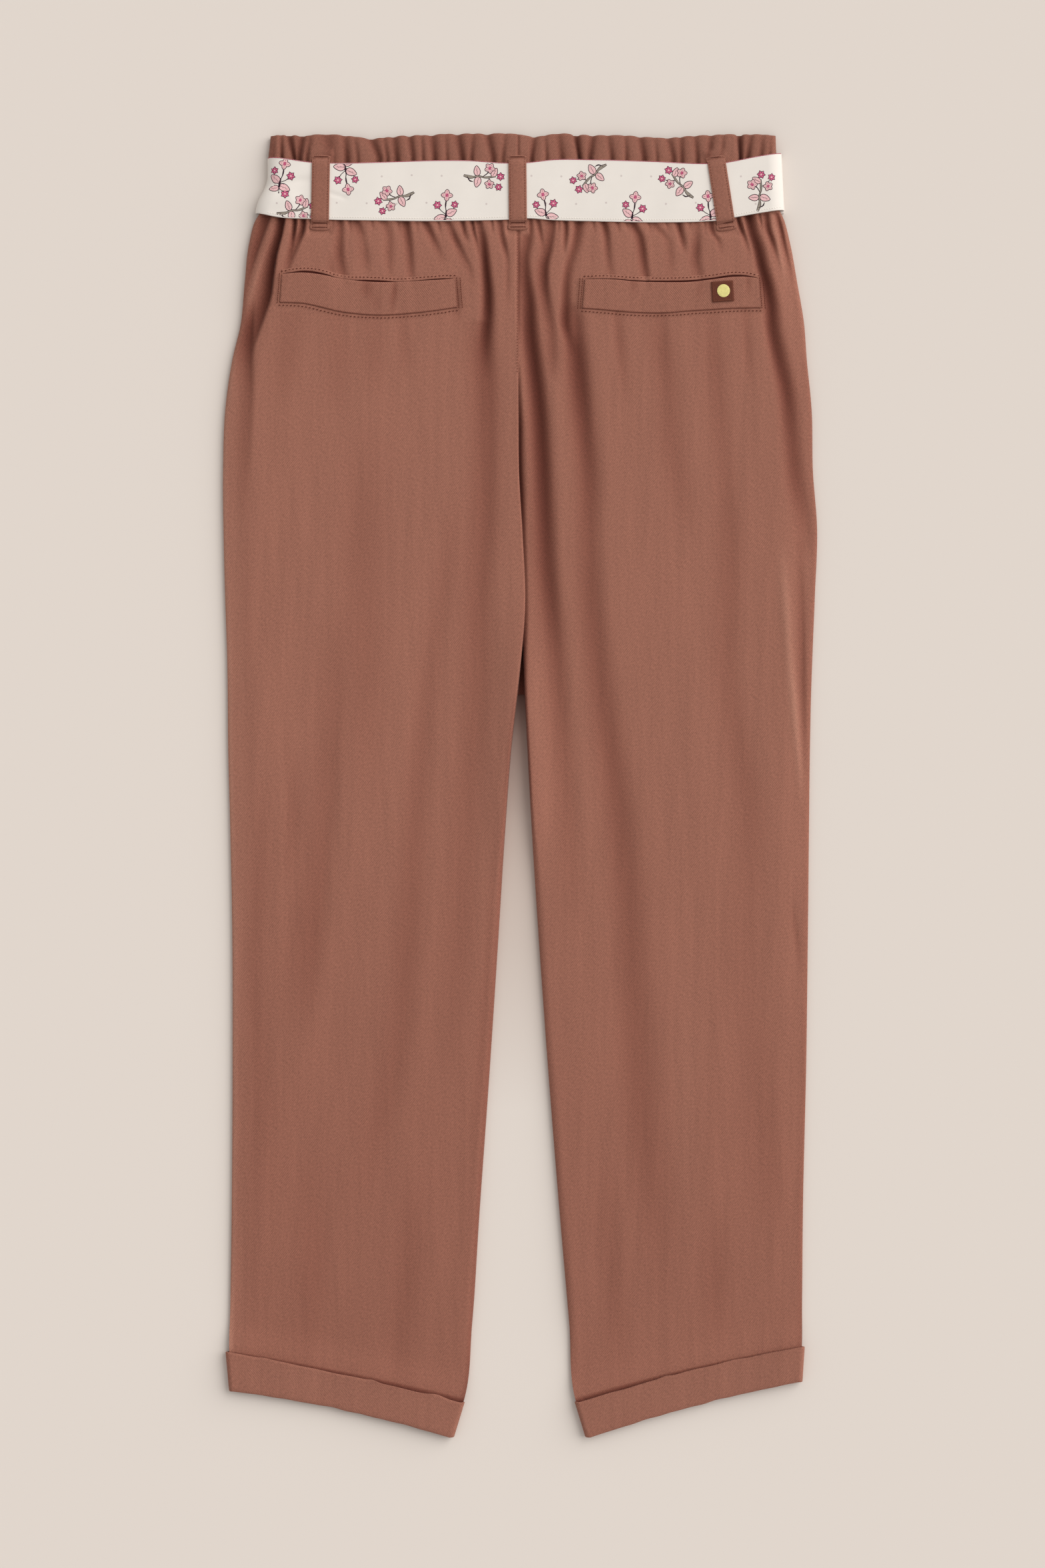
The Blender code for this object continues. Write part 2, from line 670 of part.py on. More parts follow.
def tab():
    """The tab lies flat over the welt, clear of its highest point."""
    width, depth = TAB_SIZE
    spots = [tab_place(width * a, depth * b) for a in (-0.5, 0, 0.5) for b in (-0.5, 0, 0.5)]
    low = max(clear_of_panel(RIGHT, x, drop) for x, drop in spots) + TRIM + SEAM_GAP

    def surface(share, u):
        x, drop = tab_place(width * (u - 0.5), depth * (share - 0.5))
        return x, drop, low, low + LOOP_CLOTH

    return sheet("label_tab", [Row(share, 4) for share in (0, 0.5, 1)], surface, TAB_CLOTH)


def cuff_place(side, share, u):
    """x and drop on a cuff, which stands out past the leg on both sides."""
    out = CUFF_OVERHANG / leg_width(side, CUFF_TOP)
    return leg_place(side, mix(CUFF_TOP, LAST, share), mix(-out, 1 + out, u))


def cuff_u(k, columns):
    """Shares across a cuff, with two close columns at each side for its rounded fold."""
    ends = [0.0, 0.014, 0.04]
    inner = [mix(ends[-1], 1 - ends[-1], n / (columns - 4)) for n in range(1, columns - 4)]
    return (ends + inner + [1 - end for end in ends[::-1]])[k]


def cuff(side, back):
    """Half of a turned-up cuff. Its lower edge folds round the end of the leg's panel."""
    columns = 16
    rows = [Row(share, columns) for share in (0, 0.5, 0.93, 1.0)]
    stack = UNDER_CUFF + 2 * LAYER

    def surface(share, u):
        u = cuff_u(round(u * columns), columns)
        x, drop = cuff_place(side, share, u)
        at_side = u in (0.0, 1.0)
        at_fold = share == 1.0
        if back:
            high = stack + CUFF_CLOTH - (1.4 if at_side else 0.0) - (0.5 if at_fold else 0.0)
            low = UNDER_CUFF if at_side else stack
            low = min(low, UNDER_CUFF + LAYER) if at_fold else low
            return x, drop, low, high
        high = CUFF_CLOTH + (LAYER if at_fold and not at_side else 0.0)
        return x, drop, 0.0, high

    face = "back" if back else "front"
    return sheet(f"cuff_{face}_{SIDE_NAMES[side]}", rows, surface, TWILL)


for leftover in list(bpy.data.objects):
    bpy.data.objects.remove(leftover)
TROUSERS = bpy.data.collections.new("paperbag_waist_trousers")
bpy.context.scene.collection.children.link(TROUSERS)

for which in (LEFT, RIGHT):
    front_panel(which)
    back_panel(which)
    back_waistband(which)
    welt(which)
    front_loop(which)
    cuff(which, back=True)
    cuff(which, back=False)
front_waistband()
belt_front()
belt_back()
for belt_loop in BACK_LOOPS:
    back_loop(belt_loop)
tab()
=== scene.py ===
# %% [markdown]
# # Paperbag waist trousers, laid flat
# These are a child's trousers in a soft terracotta twill. They lie on a pale table with the back up. The
# waist is gathered by elastic and opens above the belt into a frill, which is what "paperbag waist" means.
# Each step below makes one piece that a maker would cut and sew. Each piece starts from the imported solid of
# the same name, so first we load those solids. The solids hold the sizes, and this script adds the looks.

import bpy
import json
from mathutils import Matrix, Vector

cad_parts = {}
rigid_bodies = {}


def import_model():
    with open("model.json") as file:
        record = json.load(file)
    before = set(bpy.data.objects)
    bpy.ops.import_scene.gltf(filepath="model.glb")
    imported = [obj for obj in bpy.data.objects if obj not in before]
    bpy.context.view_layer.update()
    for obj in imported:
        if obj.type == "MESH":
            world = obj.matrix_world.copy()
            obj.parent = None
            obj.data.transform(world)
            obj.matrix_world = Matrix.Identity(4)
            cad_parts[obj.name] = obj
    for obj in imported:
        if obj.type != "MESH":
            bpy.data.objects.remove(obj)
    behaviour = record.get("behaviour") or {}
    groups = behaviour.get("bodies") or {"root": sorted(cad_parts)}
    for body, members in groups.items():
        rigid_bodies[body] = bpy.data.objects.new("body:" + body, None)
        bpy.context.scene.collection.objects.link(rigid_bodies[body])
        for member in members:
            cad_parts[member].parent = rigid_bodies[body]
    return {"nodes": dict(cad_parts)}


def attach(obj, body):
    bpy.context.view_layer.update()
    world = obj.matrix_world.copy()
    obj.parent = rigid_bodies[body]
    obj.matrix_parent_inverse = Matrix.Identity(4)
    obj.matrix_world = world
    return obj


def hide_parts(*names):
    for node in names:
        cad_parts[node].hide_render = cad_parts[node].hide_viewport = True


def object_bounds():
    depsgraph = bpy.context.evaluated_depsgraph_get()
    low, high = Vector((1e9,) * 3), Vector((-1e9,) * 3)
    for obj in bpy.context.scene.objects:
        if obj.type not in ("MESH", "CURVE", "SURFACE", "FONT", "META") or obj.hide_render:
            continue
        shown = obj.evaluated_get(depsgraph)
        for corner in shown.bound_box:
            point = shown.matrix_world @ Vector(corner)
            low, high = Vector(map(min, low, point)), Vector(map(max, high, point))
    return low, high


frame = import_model()
cad_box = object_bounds()
print("solids:", len(frame["nodes"]), "box:", [list(corner) for corner in cad_box])

# %% [markdown]
# ## Places on the garment
# A tailor measures down from the top edge and out from the middle line, so we do the same. `drop` is the
# distance down from the top of the frill and `x` the distance from the middle, both in millimetres, and `z`
# is the height over the table. Blender wants metres, and `at` turns one into the other. Everything is worked
# out on whole arrays of points with numpy, because a panel has tens of thousands of them.

# %% Measuring helpers
import json
import math
from collections import namedtuple

import bpy
import numpy as np
from mathutils import Vector

MM = 0.001
TOP_Y = cad_box[1][1] / MM
LEFT, RIGHT = -1, 1
SIDES = {LEFT: "left", RIGHT: "right"}


def at(x, drop, z):
    """Places on the garment, in metres."""
    x, drop, z = np.broadcast_arrays(x, drop, z)
    return np.stack([x, TOP_Y - drop, z], axis=-1) * MM


def ease(start, end, value):
    """0 before start, 1 after end, smooth in between."""
    t = np.clip((value - start) / (end - start), 0, 1)
    return t * t * (3 - 2 * t)


def mix(a, b, t):
    return a + (b - a) * t


def plateau(distance, flat, fade):
    """1 within flat of the middle, 0 from fade on."""
    return 1 - ease(flat, fade, np.abs(distance))


def roll(distance, width):
    """The rise of a rounded edge: 0 at the edge, 1 from width inwards."""
    t = np.clip(distance / width, 0, 1)
    return np.sqrt(1 - (1 - t) ** 2)


def soft_max(a, b, blend=0.4):
    """The larger of two heights, with a rounded change from one to the other."""
    return (a + b + np.sqrt((a - b) ** 2 + blend * blend)) / 2


def curve(keys, values, where):
    """A smooth curve through (key, value) pairs, read at where."""
    keys, values = np.asarray(keys, float), np.asarray(values, float)
    where = np.clip(where, keys[0], keys[-1])
    slopes = np.gradient(values, keys)
    k = np.clip(np.searchsorted(keys, where, side="right") - 1, 0, len(keys) - 2)
    step = keys[k + 1] - keys[k]
    t = (where - keys[k]) / step
    ends = (1 + 2 * t) * (1 - t) ** 2 * values[k] + t * t * (3 - 2 * t) * values[k + 1]
    return ends + step * t * (1 - t) * ((1 - t) * slopes[k] - t * slopes[k + 1])


def bell(offset, spread):
    """1 in the middle, fading to 0 on both sides."""
    return np.exp(-((offset / spread) ** 2))


def table_of(columns, *rows):
    """A table whose columns have names."""
    row_kind = namedtuple("row_kind", columns)
    return [row_kind(*row) for row in rows]


def curve_of(rows, key, value, where):
    """A smooth curve through two columns of a table."""
    return curve([getattr(row, key) for row in rows], [getattr(row, value) for row in rows], where)


print("top edge at y =", round(TOP_Y, 2), "mm")

# %% [markdown]
# ## From points to cloth
# Cloth is a thin wall, so each piece is a grid of points for its upper face, the same grid a little lower
# for its under face, and a strip of faces round the edge. Lowering straight down, and not along the normals,
# keeps the two faces apart in the sharpest fold. The UV map holds the place of each point on the flat cloth,
# in units of 100 mm. The weave is drawn with it, so the weave keeps its real size and follows the cloth.
# Each point also holds the shade painted into its colour, mostly how deep in a fold it lies, as an attribute
# which the twill reads later.

# %% Cloth from a grid of points
UV_UNIT = 100.0


def link_piece(name, vertices, faces, places, finish, smooth_below=60, hollow=0.0):
    """A mesh object that rides on the garment. places gives each vertex its spot on the flat cloth."""
    mesh = bpy.data.meshes.new(name)
    mesh.from_pydata(np.asarray(vertices).tolist(), [], [list(map(int, face)) for face in faces])
    corners = np.empty(len(mesh.loops), dtype=np.int32)
    mesh.loops.foreach_get("vertex_index", corners)
    flat = np.asarray(places, dtype=np.float32)[corners] / UV_UNIT
    mesh.uv_layers.new(name="cloth").data.foreach_set("uv", flat.ravel())
    depth = np.broadcast_to(np.asarray(hollow, dtype=np.float32), (len(mesh.vertices),))
    mesh.attributes.new("hollow", "FLOAT", "POINT").data.foreach_set("value", np.ascontiguousarray(depth))
    mesh.materials.append(finish)
    mesh.shade_smooth()
    mesh.set_sharp_from_angle(angle=math.radians(smooth_below))
    piece = bpy.data.objects.new(name, mesh)
    bpy.context.scene.collection.objects.link(piece)
    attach(piece, "root")
    return piece


def grid_quads(rows, columns):
    """The quads of a grid of points that is stored row by row."""
    corner = (np.arange(rows - 1)[:, None] * columns + np.arange(columns - 1)[None, :]).ravel()
    return np.stack([corner, corner + columns, corner + columns + 1, corner + 1], axis=1)


def grid_rim(rows, columns):
    """The points round the edge of such a grid, in order."""
    top = np.arange(columns)
    right = np.arange(1, rows) * columns + columns - 1
    bottom = (rows - 1) * columns + np.arange(columns - 2, -1, -1)
    left = np.arange(rows - 2, 0, -1) * columns
    return np.concatenate([top, right, bottom, left])


def cloth(name, x, drop, high, wall, finish, hollow=0.0):
    """A wall of cloth under the grid of points x, drop, high. The last argument is the painted shade there.
    """
    rows, columns = x.shape
    count = rows * columns
    upper = at(x, drop, high).reshape(-1, 3)
    lower = at(x, drop, high - wall).reshape(-1, 3)
    quads = grid_quads(rows, columns)
    rim = grid_rim(rows, columns)
    after = np.roll(rim, -1)
    edge = np.stack([rim, after, after + count, rim + count], axis=1)
    if x[0, 0] > x[0, -1]:
        quads, edge = quads[:, ::-1], edge[:, ::-1]
    faces = np.concatenate([quads, quads[:, ::-1] + count, edge])
    places = np.stack([x, -drop], axis=-1).reshape(-1, 2)
    vertices = np.concatenate([upper, lower])
    depth = np.tile(np.broadcast_to(hollow, x.shape).ravel(), 2)
    return link_piece(name, vertices, faces, np.concatenate([places, places]), finish,
                      hollow=depth)


def steps(*stretches):
    """Row places from stretches of (start, end, count), joined end to end."""
    parts = [np.linspace(start, end, count, endpoint=False) for start, end, count in stretches]
    return np.concatenate(parts + [[stretches[-1][1]]])


def ends_closer(count, pull):
    """Shares from 0 to 1, with the steps made closer at both ends."""
    u = np.linspace(0, 1, count)
    return u - pull * np.sin(2 * np.pi * u) / (2 * np.pi)


# %% [markdown]
# ## The twill finish
# Twill has fine slanting ribs, because each weft thread floats over the warp one step further along than the
# last. A Wave texture drawn on the UV map makes the ribs, about one to the millimetre, and a little noise
# breaks them up, as uneven yarn does. The ribs show more in some patches than in others, and raise a very
# small bump. Two more noises, stretched along the leg, give the fine streaks of the warp and the slow
# changes of tone that washed cloth has. Sheen on the shader stands for the short fibres that catch light at
# the edges of folds. Deep in a fold, light meets cloth many times and comes out darker and redder. That shade
# is painted into the colour: each millimetre of painted shade on a point keeps only a share of the red, green
# and blue.

# %% Node helpers and the twill material
LINEAR = 2.2


def colour(red, green, blue):
    """A colour from its values on a 0 to 255 screen."""
    return tuple((channel / 255) ** LINEAR for channel in (red, green, blue)) + (1.0,)


def shade(base, factor):
    return tuple(min(1.0, channel * factor) for channel in base[:3]) + (1.0,)


def new_material(name):
    made = bpy.data.materials.new(name)
    made.use_nodes = True
    nodes = made.node_tree.nodes
    return made, nodes, nodes["Principled BSDF"]


def plug(socket, value):
    """Link a socket to another one, or give it a plain value."""
    if isinstance(value, bpy.types.NodeSocket):
        socket.id_data.links.new(value, socket)
    else:
        socket.default_value = value


def fill(node, **settings):
    """Settings with a capital are the node's inputs, with _ for a space. The others are its properties."""
    for name, value in settings.items():
        if name[0].isupper():
            plug(node.inputs[name.replace("_", " ")], value)
        else:
            setattr(node, name, value)
    return node


def add(nodes, kind, **settings):
    return fill(nodes.new(kind), **settings)


def maths(nodes, operation, *values):
    node = add(nodes, "ShaderNodeMath", operation=operation)
    for socket, value in zip(node.inputs, values):
        plug(socket, value)
    return node.outputs[0]


MIX_COLOURS = (6, 7)
MIX_RESULT = 2


def mix_colours(nodes, first, second, blend_type="MULTIPLY", factor=1.0):
    """Two colours mixed. The mix node repeats its inputs' names, so its colours go by number."""
    node = add(nodes, "ShaderNodeMix", data_type="RGBA", blend_type=blend_type, Factor=factor)
    for number, value in zip(MIX_COLOURS, (first, second)):
        plug(node.inputs[number], value)
    return node.outputs[MIX_RESULT]


BAND_SCALE = 0.314159 * UV_UNIT
TWILL_PITCH = 0.95
# The share of red, green and blue that each millimetre of painted shade keeps.
PAINTED_SHADE_KEEPS = (0.79, 0.715, 0.705)
WARP_STREAKS = 0.26
WASH = 0.14
YARN = 1.25
TWILL_BUMP = 0.07


def twill(name, base, rib_pitch=TWILL_PITCH, rib_angle=38, ribs_show=0.26):
    """Twill cloth. rib_pitch is in millimetres and rib_angle in degrees from upright."""
    made, nodes, shader = new_material(name)
    place = add(nodes, "ShaderNodeUVMap", uv_map="cloth").outputs[0]
    lean = (0, 0, math.radians(rib_angle))
    slanted = add(nodes, "ShaderNodeMapping", Vector=place, Rotation=lean).outputs[0]

    def noise(source, stretch, **settings):
        mapped = add(nodes, "ShaderNodeMapping", Vector=source, Scale=stretch)
        return add(nodes, "ShaderNodeTexNoise", Vector=mapped.outputs[0], **settings).outputs["Fac"]

    ribs = add(nodes, "ShaderNodeTexWave", Vector=slanted, Scale=BAND_SCALE / rib_pitch, Distortion=6.0,
               Detail=3.0, Detail_Scale=0.12, Detail_Roughness=0.5).outputs["Fac"]
    yarn = noise(slanted, (1.9, 1.0, 1.0), Scale=62.0, Detail=4.0, Roughness=0.8)
    warp = noise(place, (22.0, 1.6, 1.0), Scale=1.0, Detail=3.0, Roughness=0.6)
    wash = noise(place, (4.5, 0.7, 1.0), Scale=1.0, Detail=2.0, Roughness=0.5)
    patches = noise(place, (1.0, 1.0, 1.0), Scale=7.0, Detail=2.0)
    clear = add(nodes, "ShaderNodeMapRange", Value=patches, From_Min=0.35, From_Max=0.65,
                To_Min=0.2 * ribs_show, To_Max=ribs_show)
    level = maths(nodes, "MULTIPLY", maths(nodes, "SUBTRACT", ribs, 0.5), clear.outputs[0])
    for source, share in ((yarn, YARN), (warp, WARP_STREAKS), (wash, WASH)):
        off_mean = maths(nodes, "SUBTRACT", source, 0.5)
        level = maths(nodes, "ADD", level, maths(nodes, "MULTIPLY", off_mean, share))
    level = maths(nodes, "ADD", level, 1.0)
    # Painted shade: the shade held on each point darkens the colour, blue and green more than red.
    hollow = add(nodes, "ShaderNodeAttribute", attribute_name="hollow").outputs["Fac"]
    kept = add(nodes, "ShaderNodeCombineColor")
    for channel, share in zip(kept.inputs, PAINTED_SHADE_KEEPS):
        plug(channel, maths(nodes, "POWER", share, hollow))
    tint = mix_colours(nodes, mix_colours(nodes, base, level), kept.outputs[0])
    relief = add(nodes, "ShaderNodeBump", Strength=0.6, Distance=TWILL_BUMP * MM,
                 Height=maths(nodes, "ADD", ribs, yarn))
    fill(shader, Base_Color=tint, Normal=relief.outputs[0], Roughness=0.88, Specular_IOR_Level=0.18,
         Sheen_Weight=0.12, Sheen_Roughness=0.45, Sheen_Tint=(1.0, 0.78, 0.68, 1.0))
    return made


TERRACOTTA = colour(151, 101, 85)
panel_twill = twill("terracotta twill", TERRACOTTA)
loop_twill = twill("terracotta loop twill", shade(TERRACOTTA, 0.92), rib_pitch=0.8)
print("twill ribs every", TWILL_PITCH, "mm; linear base colour", [round(c, 3) for c in TERRACOTTA[:3]])

# %% [markdown]
# ## The cut of a leg
# Each leg is one back panel and one front panel. Their outlines are the same when the trousers lie flat,
# because the side seam and the inseam are folded at the edges. A short table gives the half width at some
# drops, counted outwards from the middle line, and a smooth curve joins the rows. Below the pockets the left
# half laps over the right one at the middle, so its inner edge has negative values there.

# %% Outline of the legs
LEG_COLUMNS = "outer_x outer_drop inner_x inner_drop"
LEG_ROWS = {
    LEFT: table_of(
        LEG_COLUMNS,
        (145.6, 39, 1.1, 42), (154.4, 51, 1.1, 53), (157.8, 63, 1.1, 65), (160.6, 87, 1.1, 89),
        (162.9, 111, 1.1, 113), (167.6, 131, 1.1, 133), (171.9, 161, 0.9, 163), (173.2, 196, 0.6, 198),
        (172.9, 234, -1.5, 235), (171.9, 273, -3.0, 273), (170.8, 306, -0.5, 308), (170.5, 326, 1.5, 328),
        (170.3, 352, 4.6, 354), (169.1, 401, 8.5, 404), (167.8, 467, 12.8, 471), (167.6, 544, 18.0, 550),
        (168.1, 622, 23.8, 631), (168.9, 681, 28.0, 694), (169.4, 711, 33.0, 739), (167.3, 733, 40.9, 759.2),
    ),
    RIGHT: table_of(
        LEG_COLUMNS,
        (148.0, 39, -1.1, 42), (154.0, 51, -1.1, 53), (157.2, 63, -1.1, 65), (161.6, 87, -1.1, 89),
        (165.6, 111, -1.1, 113), (167.1, 131, -1.1, 133), (170.0, 161, -2.4, 163), (170.7, 196, -2.2, 198),
        (173.2, 231, -0.5, 235), (171.9, 269, 0.8, 271), (170.4, 306, 2.0, 308), (169.7, 326, 2.7, 328),
        (169.1, 352, 4.0, 354), (168.5, 401, 6.7, 404), (167.8, 467, 11.0, 471), (166.8, 544, 16.7, 550),
        (165.0, 622, 23.2, 631), (164.4, 681, 28.7, 694), (164.1, 708, 32.6, 739), (162.3, 728, 40.3, 759.0),
    ),
}
HEM_BOW = {LEFT: 1.3, RIGHT: 2.2}


def outer_edge(side, drop):
    return curve_of(LEG_ROWS[side], "outer_drop", "outer_x", drop)


def inner_edge(side, drop):
    return curve_of(LEG_ROWS[side], "inner_drop", "inner_x", drop)


def leg_grid(side, places, shares, inner=inner_edge):
    """x and drop of a grid over a leg. places run down the table's rows, and shares from outside inwards."""
    rows = LEG_ROWS[side]
    keys = np.arange(len(rows))
    outer_drop = curve(keys, [row.outer_drop for row in rows], places)[:, None]
    inner_drop = curve(keys, [row.inner_drop for row in rows], places)[:, None]
    bow = HEM_BOW[side] * ease(15, 18, places)[:, None]
    u = shares[None, :]
    x = side * mix(outer_edge(side, outer_drop), inner(side, inner_drop), u)
    return x, mix(outer_drop, inner_drop, u) - bow * 4 * u * (1 - u)


for side, word in SIDES.items():
    width_there = float(outer_edge(side, 560) - inner_edge(side, 560))
    print(word, "leg is", round(width_there, 1), "mm wide at drop 560")

# %% [markdown]
# ## What lies under the back
# Under the back lie the front panels, and under those the front of the belt and its loops. Each layer lifts
# the one above it. `front_top` gives the height of the front's upper face, and the back may come down to it
# but not go through it. At the hem the legs climb onto the turned-up cuff.

# %% Heights of the layers
FRONT_WALL = 1.0
UNDER_BELT = 1.3
UNDER_LOOP = 1.3
UNDER_CUFF = 1.5
SEAM_GAP = 0.2
FRONT_LOOP_X = 78.0
FRONT_BELT = (17.5, 51.0)
CUFF_LINE = {LEFT: (169.2, 711, 34.7, 739), RIGHT: (163.0, 708, 34.3, 739)}


def front_belt_edge(x, share):
    """The drop of the belt's edges under the front, which rise to the sides."""
    return mix(*FRONT_BELT, share) - ease(110, 150, np.abs(x)) * mix(3.2, 4.6, share)


def front_lift(x, drop):
    """How high the front lies over the belt and the loops under it."""
    upper, lower = front_belt_edge(x, 0), front_belt_edge(x, 1)
    over_belt = UNDER_BELT * ease(upper - 5.5, upper - 2, drop) * (1 - ease(lower + 2.5, lower + 10, drop))
    reach = ease(5, 9, drop) * (1 - ease(lower + 7, lower + 15, drop))
    return over_belt + UNDER_LOOP * plateau(np.abs(x) - FRONT_LOOP_X, 13, 24) * reach


def above_cuff(side, x, drop):
    """Distance up from the cuff's upper edge."""
    outer_x, outer_drop, inner_x, inner_drop = CUFF_LINE[side]
    u = np.clip((outer_x - side * x) / (outer_x - inner_x), 0, 1)
    return mix(outer_drop, inner_drop, u) - HEM_BOW[side] * 4 * u * (1 - u) - drop


def on_cuff(side, x, drop, reach=20.0):
    return 1 - ease(2, reach, above_cuff(side, x, drop))


def front_low(side, x, drop):
    return mix(front_lift(x, drop), UNDER_CUFF, on_cuff(side, x, drop))


def front_top(side, x, drop):
    return front_low(side, x, drop) + FRONT_WALL


print("front lies at", float(front_low(LEFT, -90.0, 400.0)), "mm on the leg and",
      float(front_low(LEFT, -40.0, 35.0)), "mm over the belt")
